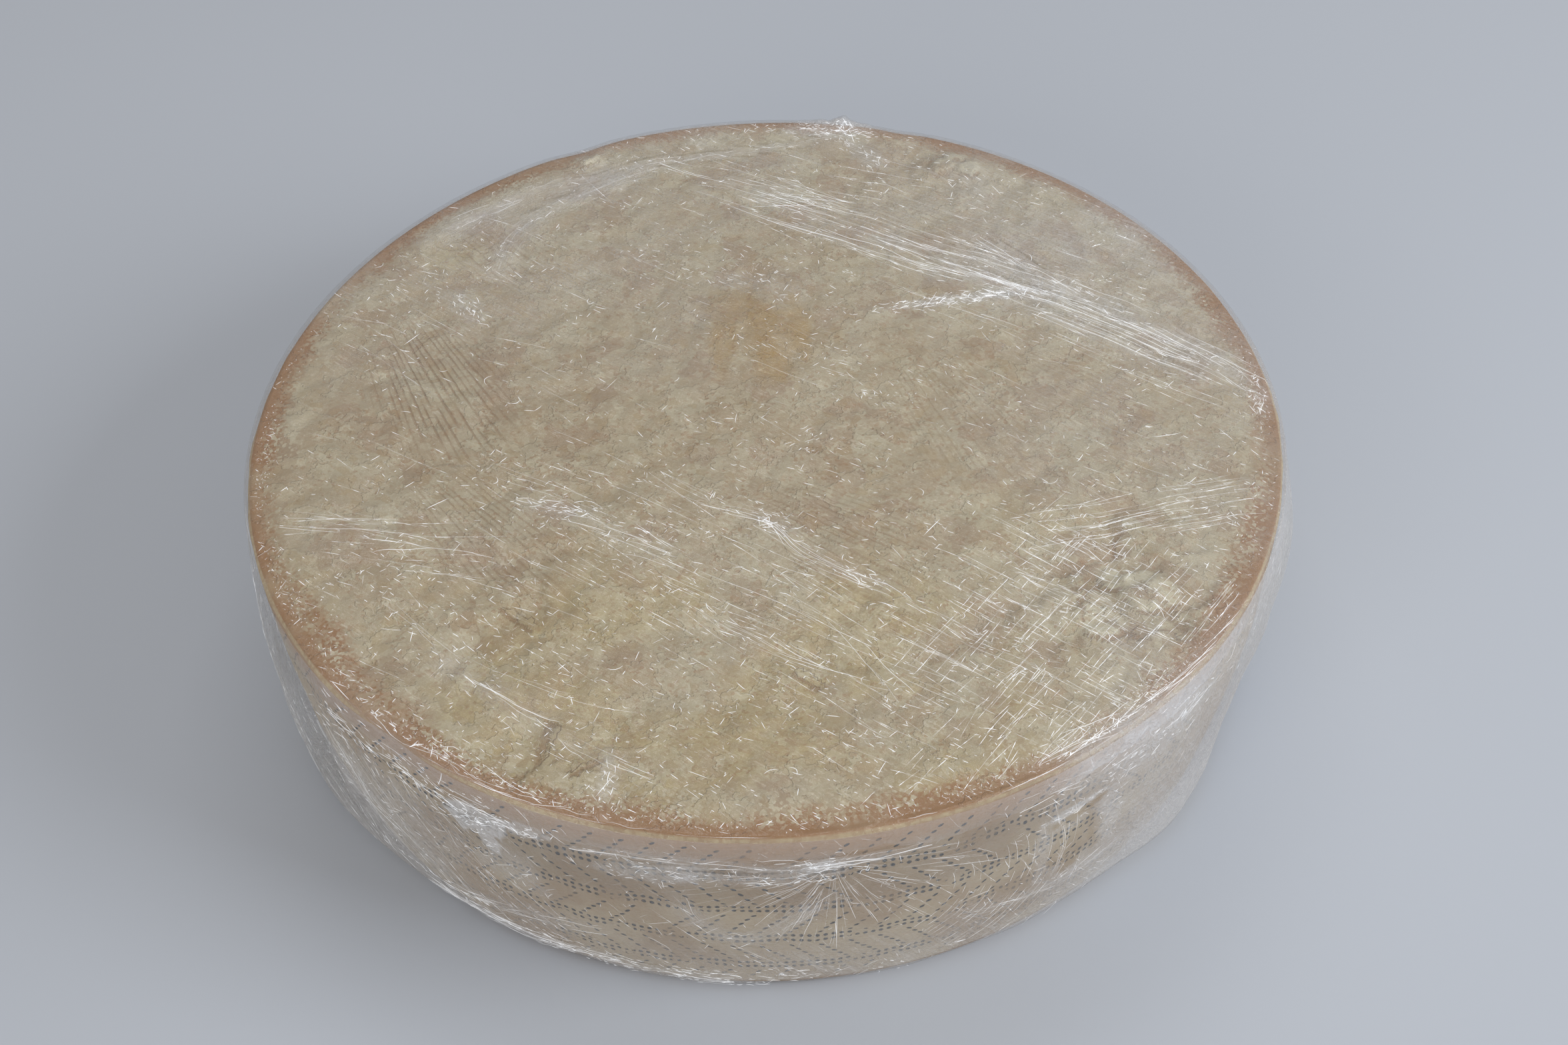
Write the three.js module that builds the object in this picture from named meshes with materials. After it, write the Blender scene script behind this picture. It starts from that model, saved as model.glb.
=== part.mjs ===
// Half wheel of hard grating cheese, wrapped tight in clear film.
//
// The whole wheel is a drum with slightly barrelled sides. It has been split level at half its
// height, and this half lies on its lower flat face with the rough, broken face up. The split is
// where the barrel is widest, so the side draws in towards the table. The film hugs the cheese
// nearly everywhere. It stands clear in two loose folds down the side and in one tuft on the rim.
// Cheese and film are one solid here, out to the film's own outline.
//
// Units are millimetres and +Z is up. The origin is the middle of the resting face, and -Y is the
// near side. Angles run counter-clockwise from +X, seen from above.

import * as THREE from "three";

// ---------------------------------------------------------------- driving dimensions

const SPLIT_DIAMETER = 430; // across the split, where the barrel is widest
const HALF_HEIGHT = 112; // resting face to the level of the broken face
const FOOT_DIAMETER = 404; // across the foot, before its edge is rounded
const FOOT_EDGE_RADIUS = 6;
const RIM_CHAMFER = 1.5; // worn arris where the side meets the broken face
const RIND_BAND = 11; // hard, smooth ring inside the rim, which the split doesn't tear

const SPLIT_RADIUS = SPLIT_DIAMETER / 2;
const FOOT_RADIUS = FOOT_DIAMETER / 2;

// Chips knocked out of the rim: where each is, how far round it spreads in degrees, and how deep.
const RIM_CHIPS = [
  { angle: 113, spread: 3.2, depth: 4.2 },
  { angle: 71, spread: 2.4, depth: 3.4 },
  { angle: 229, spread: 4.5, depth: 2.2 },
];
const CHIP_DROP = 0.16; // share of the half height that a chip runs down the side

// ---------------------------------------------------------------- the broken face

const SWELL = { size: 64, height: 2.2 }; // long, lazy waves left by the splitting knives
const LUMPS = { size: 19, height: 1.7 }; // torn lumps of paste all over
const CRUMBS = { size: 9, height: 0.8 }; // smaller torn grains

// Places where the paste has crumbled deeper: centre, reach and depth of the hollow, and how much
// rougher it is than the rest.
const CRAGS = [
  { x: 140, y: -106, reach: 40, depth: 3.4, rough: 2.6 },
  { x: -100, y: -108, reach: 36, depth: 2.0, rough: 1.8 },
  { x: -86, y: -170, reach: 22, depth: 2.6, rough: 1.9 },
  { x: 88, y: 176, reach: 24, depth: 1.2, rough: 1.9 },
  { x: 4, y: -128, reach: 44, depth: 1.4, rough: 1.4 },
];

// The knives met in the middle behind the centre and left one shallow mound.
const KNIFE_MOUND = { x: -8, y: 40, reach: 70, height: 2.0 };

// ---------------------------------------------------------------- the film

// Loose folds of film that hang from the rim: where each is, how far round it spreads in degrees,
// and how far it stands off the cheese half way down and at the foot.
const LOOSE_FOLDS = [
  { angle: 203, spread: 19, middle: 6.5, foot: 10.5 },
  { angle: 353, spread: 14, middle: 10, foot: 7.5 },
  { angle: 322, spread: 11, middle: 3, foot: 6 },
];
const FOLD_PLEATS = { size: 9, depth: 1.4 }; // small pleats inside the loose folds

const RIM_TUFT = { angle: 80, spread: 4.5, height: 6 }; // gathered film standing on the far rim

// ---------------------------------------------------------------- facets

const FACE_RINGS = 32; // rings of facets across the broken face
const FIRST_RING = 6; // facets round the innermost ring, and how many more each ring has
const SIDE_STEPS = 7;
const EDGE_STEPS = 3;
const ROUND_COUNT = FACE_RINGS * FIRST_RING; // facets round the rim, the side and the foot

// ---------------------------------------------------------------- seeded relief

const SEED = 41;

/** A repeatable number from 0 to 1 for one cell of a square lattice. */
function cellNumber(column, row, layer) {
  let bits =
    Math.imul(column + 8191, 374761393) ^
    Math.imul(row + 4099, 668265263) ^
    Math.imul(layer + SEED, 1442695041);
  bits = Math.imul(bits ^ (bits >>> 13), 1274126177);
  return ((bits ^ (bits >>> 16)) >>> 0) / 4294967295;
}

/** Smooth noise from -1 to 1, whose waves are about two cells long. */
function smoothNoise(x, y, cell, layer) {
  const column = Math.floor(x / cell);
  const row = Math.floor(y / cell);
  const ease = (t) => t * t * (3 - 2 * t);
  const across = ease(x / cell - column);
  const up = ease(y / cell - row);
  const low = THREE.MathUtils.lerp(
    cellNumber(column, row, layer),
    cellNumber(column + 1, row, layer),
    across,
  );
  const high = THREE.MathUtils.lerp(
    cellNumber(column, row + 1, layer),
    cellNumber(column + 1, row + 1, layer),
    across,
  );
  return 2 * THREE.MathUtils.lerp(low, high, up) - 1;
}

/** Rounded lumps with sharp valleys between them, from 0 in a valley to 1 on a crown. */
function lumpNoise(x, y, cell, layer) {
  const column = Math.floor(x / cell);
  const row = Math.floor(y / cell);
  let nearest = Infinity;
  for (let i = column - 1; i <= column + 1; i += 1) {
    for (let j = row - 1; j <= row + 1; j += 1) {
      const lumpX = (i + cellNumber(i, j, layer)) * cell;
      const lumpY = (j + cellNumber(i, j, layer + 1)) * cell;
      nearest = Math.min(nearest, Math.hypot(x - lumpX, y - lumpY));
    }
  }
  return 1 - Math.min(1, nearest / cell) ** 2;
}

/** 1 at the middle of a feature, fading to 0 by about twice its reach. */
function bell(distance, reach) {
  return Math.exp(-((distance / reach) ** 2));
}

/** The turn between two angles in degrees, from 0 to 180. */
function turnBetween(a, b) {
  return Math.abs(THREE.MathUtils.euclideanModulo(a - b + 180, 360) - 180);
}

// ---------------------------------------------------------------- surfaces

/** Height of the broken face at a place on it. */
function brokenFaceHeight(x, y) {
  const radius = Math.hypot(x, y);
  const torn = THREE.MathUtils.smoothstep(
    SPLIT_RADIUS - radius,
    RIND_BAND * 0.5,
    RIND_BAND * 1.6,
  );
  let hollow = 0;
  let rough = 1;
  for (const crag of CRAGS) {
    const near = bell(Math.hypot(x - crag.x, y - crag.y), crag.reach);
    hollow += crag.depth * near;
    rough += (crag.rough - 1) * near;
  }
  const mound =
    KNIFE_MOUND.height *
    bell(
      Math.hypot(x - KNIFE_MOUND.x, y - KNIFE_MOUND.y),
      KNIFE_MOUND.reach,
    );
  const relief =
    SWELL.height * smoothNoise(x, y, SWELL.size, 1) * 0.5 +
    LUMPS.height * (lumpNoise(x, y, LUMPS.size, 3) - 0.6) * rough +
    CRUMBS.height * (lumpNoise(x, y, CRUMBS.size, 7) - 0.6) * rough;
  return HALF_HEIGHT + torn * (relief + mound - hollow);
}

/** Radius of the cheese's barrelled side at a height. */
function sideRadius(height) {
  const drop = (HALF_HEIGHT - height) / HALF_HEIGHT;
  return SPLIT_RADIUS - (SPLIT_RADIUS - FOOT_RADIUS) * drop ** 2;
}

/** How deep the rim is chipped at an angle and a height. */
function chipDepth(angle, height) {
  const drop = (HALF_HEIGHT - height) / HALF_HEIGHT;
  const atRim = THREE.MathUtils.clamp(1 - drop / CHIP_DROP, 0, 1);
  let depth = 0;
  for (const chip of RIM_CHIPS) {
    depth += chip.depth * bell(turnBetween(angle, chip.angle), chip.spread);
  }
  return depth * atRim;
}

/** How far the film stands off the side at an angle and a height. It starts from the rim, and the
 * curve from there goes through the fold's reach half way down and its reach at the foot. */
function filmStandOff(angle, height) {
  const drop = THREE.MathUtils.clamp((HALF_HEIGHT - height) / HALF_HEIGHT, 0, 1);
  const atMiddle = 4 * drop * (1 - drop);
  const atFoot = drop * (2 * drop - 1);
  const along = (angle / 360) * Math.PI * SPLIT_DIAMETER;
  const pleat =
    FOLD_PLEATS.depth * smoothNoise(along, height / 6, FOLD_PLEATS.size, 11);
  let off = 0;
  for (const fold of LOOSE_FOLDS) {
    const near = bell(turnBetween(angle, fold.angle), fold.spread);
    off += near * ((fold.middle + pleat) * atMiddle + fold.foot * atFoot);
  }
  return Math.max(0, off);
}

/** Height that the gathered film adds to the rim at an angle. */
function tuftHeight(angle) {
  return (
    RIM_TUFT.height * bell(turnBetween(angle, RIM_TUFT.angle), RIM_TUFT.spread)
  );
}

// ---------------------------------------------------------------- rings of points

/** A closed ring of points: place(angle in degrees) gives each one's radius and height. */
function ring(count, place) {
  return Array.from({ length: count }, (_, index) => {
    const angle = (360 * index) / count;
    const { radius, height } = place(angle);
    const turn = THREE.MathUtils.degToRad(angle);
    return new THREE.Vector3(
      radius * Math.cos(turn),
      radius * Math.sin(turn),
      height,
    );
  });
}

/** One ring of the broken face, lifted onto its relief. The rings near the rim draw in at the
 * chips. */
function faceRing(number) {
  const share = number / FACE_RINGS;
  const radius = (SPLIT_RADIUS - RIM_CHAMFER) * share;
  const atRim = number === FACE_RINGS;
  const points = ring(number * FIRST_RING, (angle) => ({
    radius: radius - chipDepth(angle, HALF_HEIGHT) * share ** 8,
    height: atRim ? tuftHeight(angle) : 0,
  }));
  for (const point of points) point.z += brokenFaceHeight(point.x, point.y);
  return points;
}

/** One ring of the side, out to the film. */
function sideRing(height) {
  return ring(ROUND_COUNT, (angle) => ({
    radius:
      sideRadius(height) -
      chipDepth(angle, height) +
      filmStandOff(angle, height),
    height,
  }));
}

/** One ring of the rounded foot edge, from 0 at the side to 1 on the resting face. */
function footRing(share) {
  const turn = (share * Math.PI) / 2;
  const inset = FOOT_EDGE_RADIUS * (1 - Math.cos(turn));
  const height = FOOT_EDGE_RADIUS * (1 - Math.sin(turn));
  return ring(ROUND_COUNT, (angle) => ({
    radius:
      sideRadius(FOOT_EDGE_RADIUS) +
      filmStandOff(angle, FOOT_EDGE_RADIUS) -
      inset,
    height,
  }));
}

/** All the rings, from the one round the middle of the broken face to the resting face. */
function wheelRings() {
  const rings = [];
  for (let number = 1; number <= FACE_RINGS; number += 1) {
    rings.push(faceRing(number));
  }
  const sideTop = HALF_HEIGHT - RIM_CHAMFER;
  for (let step = 0; step <= SIDE_STEPS; step += 1) {
    const share = step / SIDE_STEPS;
    rings.push(
      sideRing(THREE.MathUtils.lerp(sideTop, FOOT_EDGE_RADIUS, share)),
    );
  }
  for (let step = 1; step <= EDGE_STEPS; step += 1) {
    rings.push(footRing(step / EDGE_STEPS));
  }
  return rings;
}

// ---------------------------------------------------------------- the skin of facets

/** Facets between an inner ring and the next one out, which may have more points. */
function stitch(facets, innerStart, innerCount, outerStart, outerCount) {
  let inner = 0;
  let outer = 0;
  while (inner < innerCount || outer < outerCount) {
    const innerPoint = innerStart + (inner % innerCount);
    const outerPoint = outerStart + (outer % outerCount);
    const outerIsNext =
      inner === innerCount ||
      (outer < outerCount && (outer + 1) * innerCount <= (inner + 1) * outerCount);
    if (outerIsNext) {
      facets.push(innerPoint, outerPoint, outerStart + ((outer + 1) % outerCount));
      outer += 1;
    } else {
      facets.push(innerPoint, outerPoint, innerStart + ((inner + 1) % innerCount));
      inner += 1;
    }
  }
}

/** One closed skin from the middle of the broken face, over the rim and down to the middle of the
 * resting face. */
function closedSkin(top, rings, bottom) {
  const points = [top, ...rings.flat(), bottom];
  const facets = [];
  let start = 1;
  for (let point = 0; point < rings[0].length; point += 1) {
    facets.push(0, start + point, start + ((point + 1) % rings[0].length));
  }
  for (let number = 1; number < rings.length; number += 1) {
    const next = start + rings[number - 1].length;
    stitch(facets, start, rings[number - 1].length, next, rings[number].length);
    start = next;
  }
  const last = rings.at(-1).length;
  for (let point = 0; point < last; point += 1) {
    facets.push(points.length - 1, start + ((point + 1) % last), start + point);
  }
  const skin = new THREE.BufferGeometry().setFromPoints(points);
  skin.setIndex(facets);
  skin.computeVertexNormals();
  return skin;
}

// ---------------------------------------------------------------- the part

const skin = closedSkin(
  new THREE.Vector3(0, 0, brokenFaceHeight(0, 0)),
  wheelRings(),
  new THREE.Vector3(0, 0, 0),
);

const wrappedCheese = new THREE.Mesh(
  skin,
  new THREE.MeshStandardMaterial({
    color: 0xd9c9a0,
    roughness: 0.45,
    metalness: 0,
  }),
);
wrappedCheese.name = "wrapped_half_wheel";

const halfWheel = new THREE.Group();
halfWheel.add(wrappedCheese);

export default halfWheel;
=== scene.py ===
"""Half wheel of hard grating cheese, wrapped tight in clear stretch film.

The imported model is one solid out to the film's own outline. Here the cheese and the film over it
stand in for that solid, in the same frame: +Z up, the near side at -Y and the origin under the
middle of the foot. Blender works in metres. Sizes in the classes below are in millimetres, as on
a drawing, and angles run counter-clockwise from +X, seen from above.
"""

from __future__ import annotations

import logging
import math
from contextlib import contextmanager
from dataclasses import dataclass, field
from enum import Enum
from typing import Any, Callable, Iterator, Sequence

import bpy
import numpy as np
from mathutils import Matrix, Vector


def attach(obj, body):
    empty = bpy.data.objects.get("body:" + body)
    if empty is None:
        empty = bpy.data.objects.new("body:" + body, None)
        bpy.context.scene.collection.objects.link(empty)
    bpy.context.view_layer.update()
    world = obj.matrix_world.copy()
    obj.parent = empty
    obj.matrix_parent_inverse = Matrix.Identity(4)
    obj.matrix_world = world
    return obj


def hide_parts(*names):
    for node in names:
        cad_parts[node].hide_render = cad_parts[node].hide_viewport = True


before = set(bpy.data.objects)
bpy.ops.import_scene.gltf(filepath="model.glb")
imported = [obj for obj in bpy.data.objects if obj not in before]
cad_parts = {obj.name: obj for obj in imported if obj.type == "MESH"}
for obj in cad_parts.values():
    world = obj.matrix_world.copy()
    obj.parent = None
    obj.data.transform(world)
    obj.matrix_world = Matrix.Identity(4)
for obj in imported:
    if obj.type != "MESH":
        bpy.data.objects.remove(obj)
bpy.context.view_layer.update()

log = logging.getLogger("half_wheel")
MM = 0.001
SEED = 41
NODE = "wrapped_half_wheel"
BODY = "root"
WHITE = (1.0, 1.0, 1.0)


# ------------------------------------------------------------------ numbers and noise


def smooth(value: np.ndarray, low: float, high: float) -> np.ndarray:
    """Ease from 0 at low to 1 at high.

    Args:
        value: the numbers to ease.
        low: where the ease starts.
        high: where it ends.

    Returns:
        Numbers from 0 to 1.
    """
    share = np.clip((value - low) / (high - low), 0.0, 1.0)
    return share * share * (3 - 2 * share)


def bell(distance: np.ndarray, reach: float) -> np.ndarray:
    """1 at the middle of a feature, fading to 0 by about twice its reach."""
    return np.exp(-((distance / reach) ** 2))


def turn_between(a: np.ndarray, b: float) -> np.ndarray:
    """The turn between two angles in degrees, from 0 to 180."""
    return np.abs(np.mod(a - b + 180.0, 360.0) - 180.0)


def turned(u: Any, v: Any, angle: Any) -> tuple[Any, Any]:
    """A place, or many, turned about the origin by an angle in radians."""
    c, s = np.cos(angle), np.sin(angle)
    return u * c - v * s, u * s + v * c


def cell_number(column: np.ndarray, row: np.ndarray, layer: int) -> np.ndarray:
    """A repeatable number from 0 to 1 for each cell of a square lattice.

    Args:
        column: the cells' columns.
        row: the cells' rows.
        layer: which lattice.

    Returns:
        One number for each cell.
    """
    bits = (column + 8191).astype(np.int64).astype(np.uint32) * np.uint32(374761393)
    bits = bits ^ ((row + 4099).astype(np.int64).astype(np.uint32) * np.uint32(668265263))
    bits = bits ^ np.uint32((layer + SEED) * 1442695041 & 0xFFFFFFFF)
    bits = (bits ^ (bits >> np.uint32(13))) * np.uint32(1274126177)
    return (bits ^ (bits >> np.uint32(16))).astype(float) / 4294967295.0


def smooth_noise(x: np.ndarray, y: np.ndarray, cell: float, layer: int) -> np.ndarray:
    """Smooth noise from -1 to 1, whose waves are about two cells long.

    Args:
        x: first coordinates, in millimetres.
        y: second coordinates.
        cell: size of a cell.
        layer: which lattice.

    Returns:
        The noise at each point.
    """
    column, row = np.floor(x / cell), np.floor(y / cell)
    across, up = (x / cell - column), (y / cell - row)
    across, up = across * across * (3 - 2 * across), up * up * (3 - 2 * up)
    corners = [
        cell_number(column + i, row + j, layer) for j in (0, 1) for i in (0, 1)
    ]
    low = corners[0] + (corners[1] - corners[0]) * across
    high = corners[2] + (corners[3] - corners[2]) * across
    return 2 * (low + (high - low) * up) - 1


def lump_noise(x: np.ndarray, y: np.ndarray, cell: float, layer: int) -> np.ndarray:
    """Rounded lumps with sharp valleys between them, 0 in a valley and 1 on a crown.

    Args:
        x: first coordinates, in millimetres.
        y: second coordinates.
        cell: size of a lump.
        layer: which lattice.

    Returns:
        The noise at each point.
    """
    column, row = np.floor(x / cell), np.floor(y / cell)
    nearest = np.full(np.shape(x), np.inf)
    for i in (-1, 0, 1):
        for j in (-1, 0, 1):
            lump_x = (column + i + cell_number(column + i, row + j, layer)) * cell
            lump_y = (row + j + cell_number(column + i, row + j, layer + 1)) * cell
            nearest = np.minimum(nearest, np.hypot(x - lump_x, y - lump_y))
    return 1 - np.minimum(1.0, nearest / cell) ** 2


def clouds(x: np.ndarray, y: np.ndarray, cell: float, layer: int, layers: int = 4) -> np.ndarray:
    """Cloudy noise from about -1 to 1, with finer layers half as strong as the last.

    Args:
        x: first coordinates, in millimetres.
        y: second coordinates.
        cell: size of the coarsest cells.
        layer: which lattice to start from.
        layers: how many layers there are.

    Returns:
        The noise at each point.
    """
    total = np.zeros(np.shape(x))
    for k in range(layers):
        total += 0.6**k * smooth_noise(x + 13.7 * k, y - 7.3 * k, cell / 2**k, layer + k)
    return total / sum(0.6**k for k in range(layers)) * 1.5


def linear(red: int, green: int, blue: int) -> tuple[float, float, float]:
    """A colour as a screen shows it, from 0 to 255, in the linear light that shaders use."""
    shares = [channel / 255 for channel in (red, green, blue)]
    return tuple(s / 12.92 if s <= 0.04045 else ((s + 0.055) / 1.055) ** 2.4 for s in shares)


# ------------------------------------------------------------------ form of the half wheel


@dataclass(frozen=True)
class Crag:
    """A place where the paste has crumbled deeper."""

    x: float
    y: float
    reach: float
    depth: float
    rough: float


@dataclass(frozen=True)
class Bump:
    """Something at one angle of the rim that spreads round it and fades."""

    angle: float
    spread: float
    size: float


@dataclass(frozen=True)
class LooseFold:
    """A fold of film that hangs from the rim, and how far it stands off half way down and at the foot."""

    angle: float
    spread: float
    middle: float
    foot: float


@dataclass(frozen=True)
class WheelForm:
    """The driving sizes of the wrapped half wheel, and the surfaces that follow from them."""

    radius: float = 215.0
    height: float = 112.0
    foot_radius: float = 202.0
    foot_edge: float = 6.0
    chamfer: float = 1.5
    rind_band: float = 11.0
    crags: tuple[Crag, ...] = (
        Crag(140, -106, 40, 3.4, 2.6),
        Crag(-100, -108, 36, 2.0, 1.8),
        Crag(-86, -170, 22, 2.6, 1.9),
        Crag(88, 176, 24, 1.2, 1.9),
        Crag(4, -128, 44, 1.4, 1.4),
    )
    mound: Crag = Crag(-8, 40, 70, -2.0, 1.0)
    chips: tuple[Bump, ...] = (Bump(113, 3.2, 1.8), Bump(71, 2.4, 1.2), Bump(229, 4.5, 2.0))
    chip_drop: float = 0.16
    tuft: Bump = Bump(79, 4.2, 5.0)
    folds: tuple[LooseFold, ...] = (
        LooseFold(203, 19, 6.5, 10.5),
        LooseFold(353, 14, 10.0, 7.5),
        LooseFold(322, 11, 3.0, 6.0),
    )

    @property
    def around(self) -> float:
        """The way round the rim."""
        return 2 * math.pi * self.radius

    def closing(self, arc: np.ndarray, start: float = 600.0, gap: float = 1.0) -> np.ndarray:
        """1 round most of the side, and 0 behind, where whatever varies round it has to meet."""
        return smooth(np.abs(arc), self.around / 2 - gap, start)

    def side_radius(self, height: np.ndarray) -> np.ndarray:
        """Radius of the cheese's barrelled side at a height."""
        drop = (self.height - height) / self.height
        return self.radius - (self.radius - self.foot_radius) * drop**2

    def face_height(self, x: np.ndarray, y: np.ndarray) -> np.ndarray:
        """Height of the broken face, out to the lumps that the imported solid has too.

        Args:
            x: places on the face, to the right.
            y: places on the face, away from the near side.

        Returns:
            The height above the foot at each place.
        """
        inset = self.radius - np.hypot(x, y)
        torn = smooth(inset, self.rind_band * 0.5, self.rind_band * 1.6)
        hollow, rough = np.zeros(np.shape(x)), np.ones(np.shape(x))
        for crag in self.crags:
            near = bell(np.hypot(x - crag.x, y - crag.y), crag.reach)
            hollow += crag.depth * near
            rough += (crag.rough - 1) * near
        near = bell(np.hypot(x - self.mound.x, y - self.mound.y), self.mound.reach)
        relief = (
            1.1 * smooth_noise(x, y, 64, 1)
            + 1.7 * (lump_noise(x, y, 19, 3) - 0.6) * rough
            + 0.8 * (lump_noise(x, y, 9, 7) - 0.6) * rough
        )
        return self.height + torn * (relief - self.mound.depth * near - hollow)

    def chip_depth(self, angle: np.ndarray, height: np.ndarray) -> np.ndarray:
        """How deep the rim is chipped at an angle and a height."""
        drop = (self.height - height) / self.height
        depth = sum(c.size * bell(turn_between(angle, c.angle), c.spread) for c in self.chips)
        return depth * np.clip(1 - drop / self.chip_drop, 0, 1)

    def tuft_height(self, x: np.ndarray, y: np.ndarray) -> np.ndarray:
        """How high the film is crumpled up over the far rim."""
        inset, degrees = self.radius - np.hypot(x, y), np.degrees(np.arctan2(y, x))
        near = bell(turn_between(degrees, self.tuft.angle), self.tuft.spread) * smooth(inset, 11.0, 0.5)
        creased = 0.55 + 0.45 * smooth_noise(x, y, 5, 151) + 0.3 * smooth_noise(x, y, 2.6, 157)
        return self.tuft.size * near * np.clip(creased, 0.1, 1.15)

    def stand_off(self, angle: np.ndarray, height: np.ndarray) -> np.ndarray:
        """How far the loose folds of film stand off the side at an angle and a height."""
        drop = np.clip((self.height - height) / self.height, 0, 1)
        at_middle, at_foot = 4 * drop * (1 - drop), drop * (2 * drop - 1)
        pleat = 1.4 * smooth_noise(angle / 360 * self.around, height / 6, 9, 11)
        off = sum(
            bell(turn_between(angle, f.angle), f.spread)
            * ((f.middle + pleat) * at_middle + f.foot * at_foot)
            for f in self.folds
        )
        return np.maximum(0, off)


class HeightMap:
    """Heights over the face on a square lattice, read between its points by straight lines."""

    STEP = 1.0

    def __init__(self, reach: float, heights: Callable[[np.ndarray, np.ndarray], np.ndarray]) -> None:
        """Samples the heights out to the reach each way."""
        self.low = -reach
        line = np.arange(-reach, reach + self.STEP, self.STEP)
        x, y = np.meshgrid(line, line)
        self.values = heights(x, y)

    def spread(self, reach: int) -> HeightMap:
        """Raise each place to the highest one near it, as a taut sheet over bumps."""
        grown = self.values.copy()
        for i in range(-reach, reach + 1):
            for j in range(-reach, reach + 1):
                if i * i + j * j <= reach * reach:
                    shifted = np.roll(np.roll(self.values, i, 0), j, 1)
                    grown = np.maximum(grown, shifted)
        self.values = grown
        return self

    def blur(self, reach: float) -> HeightMap:
        """Smooth the heights over a distance."""
        steps = int(3 * reach)
        weights = np.exp(-0.5 * (np.arange(-steps, steps + 1) / reach) ** 2)
        weights /= weights.sum()
        for axis in (0, 1):
            self.values = sum(
                w * np.roll(self.values, k - steps, axis) for k, w in enumerate(weights)
            )
        return self

    def at(self, x: np.ndarray, y: np.ndarray) -> np.ndarray:
        """The height at each place."""
        last = self.values.shape[0] - 2
        u, v = (x - self.low) / self.STEP, (y - self.low) / self.STEP
        i, j = np.clip(u.astype(int), 0, last), np.clip(v.astype(int), 0, last)
        s, t = u - i, v - j
        grid = self.values
        low = grid[j, i] * (1 - s) + grid[j, i + 1] * s
        high = grid[j + 1, i] * (1 - s) + grid[j + 1, i + 1] * s
        return low * (1 - t) + high * t


# ------------------------------------------------------------------ workbench


class Workbench:
    """Modelling steps that several pieces share."""

    @staticmethod
    def clear() -> None:
        """Select nothing."""
        bpy.ops.object.select_all(action="DESELECT")

    @staticmethod
    @contextmanager
    def editing(piece: bpy.types.Object, mode: str = "VERT") -> Iterator[None]:
        """Edit a piece's mesh with everything in it selected."""
        Workbench.clear()
        piece.select_set(True)
        bpy.context.view_layer.objects.active = piece
        bpy.ops.object.mode_set(mode="EDIT")
        bpy.ops.mesh.select_mode(type=mode)
        bpy.ops.mesh.select_all(action="SELECT")
        yield
        bpy.ops.object.mode_set(mode="OBJECT")

    @staticmethod
    def named(name: str) -> bpy.types.Object:
        """Name the piece that an operator has just added."""
        piece = bpy.context.active_object
        piece.name = piece.data.name = name
        return piece

    @staticmethod
    def points(piece: bpy.types.Object) -> np.ndarray:
        """The piece's points, in millimetres."""
        flat = np.empty(len(piece.data.vertices) * 3)
        piece.data.vertices.foreach_get("co", flat)
        return flat.reshape(-1, 3) / MM

    @staticmethod
    def place(piece: bpy.types.Object, points: np.ndarray) -> None:
        """Move the piece's points, given in millimetres."""
        piece.data.vertices.foreach_set("co", (points * MM).ravel())
        piece.data.update()

    @staticmethod
    def paint(piece: bpy.types.Object, name: str, values: np.ndarray) -> None:
        """Store a number or a vector for each of the piece's points.

        Args:
            piece: the piece.
            name: what its material calls the attribute.
            values: one number for each point, or one row of three.
        """
        kind, key = ("FLOAT", "value") if values.ndim == 1 else ("FLOAT_VECTOR", "vector")
        attribute = piece.data.attributes.new(name, kind, "POINT")
        attribute.data.foreach_set(key, values.astype(np.float32).ravel())

    @staticmethod
    def face_out(piece: bpy.types.Object, smooth_shading: bool = True) -> None:
        """Turn the piece's faces outwards and shade them."""
        with Workbench.editing(piece, "FACE"):
            bpy.ops.mesh.normals_make_consistent(inside=False)
        piece.data.shade_smooth() if smooth_shading else piece.data.shade_flat()

    @staticmethod
    def draw_down(rows: int) -> None:
        """Extrude the open edge of the mesh in edit mode, one unit down for each row."""
        bpy.ops.mesh.region_to_loop()
        for _ in range(rows):
            bpy.ops.mesh.extrude_region_move(TRANSFORM_OT_translate={"value": (0, 0, -1)})

    @staticmethod
    def disc(name: str, cells: int, rows: int) -> bpy.types.Object:
        """A square grid rounded to a disc of radius 1, with rows of faces hanging from its edge.

        Args:
            name: the piece's name.
            cells: grid cells along each side of the square.
            rows: rows of faces below the edge, each one unit high.

        Returns:
            The new piece.
        """
        Workbench.clear()
        bpy.ops.mesh.primitive_grid_add(x_subdivisions=cells, y_subdivisions=cells, size=2)
        piece = Workbench.named(name)
        flat = Workbench.points(piece) * MM
        x, y = flat[:, 0], flat[:, 1]
        wide = np.abs(x) > np.abs(y)
        reach = np.where(wide, x, y)
        share = np.divide(np.where(wide, y, x), reach, out=np.zeros_like(x), where=reach != 0)
        turn = np.where(wide, share * math.pi / 4, math.pi / 2 - share * math.pi / 4)
        flat[:, 0], flat[:, 1] = reach * np.cos(turn), reach * np.sin(turn)
        Workbench.place(piece, flat / MM)
        with Workbench.editing(piece, "EDGE"):
            Workbench.draw_down(rows)
        return piece

    @staticmethod
    def hand_over(piece: bpy.types.Object, finish: bpy.types.Material, slot: str) -> None:
        """Give a piece its finish and fasten it to the frame."""
        piece.data.materials.clear()
        piece.data.materials.append(finish)
        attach(piece, BODY)
        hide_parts(NODE)
        piece.visible_shadow = slot != "clear_film"
        log.info("%s: %d faces", piece.name, len(piece.data.polygons))


# ------------------------------------------------------------------ shader maths


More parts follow.
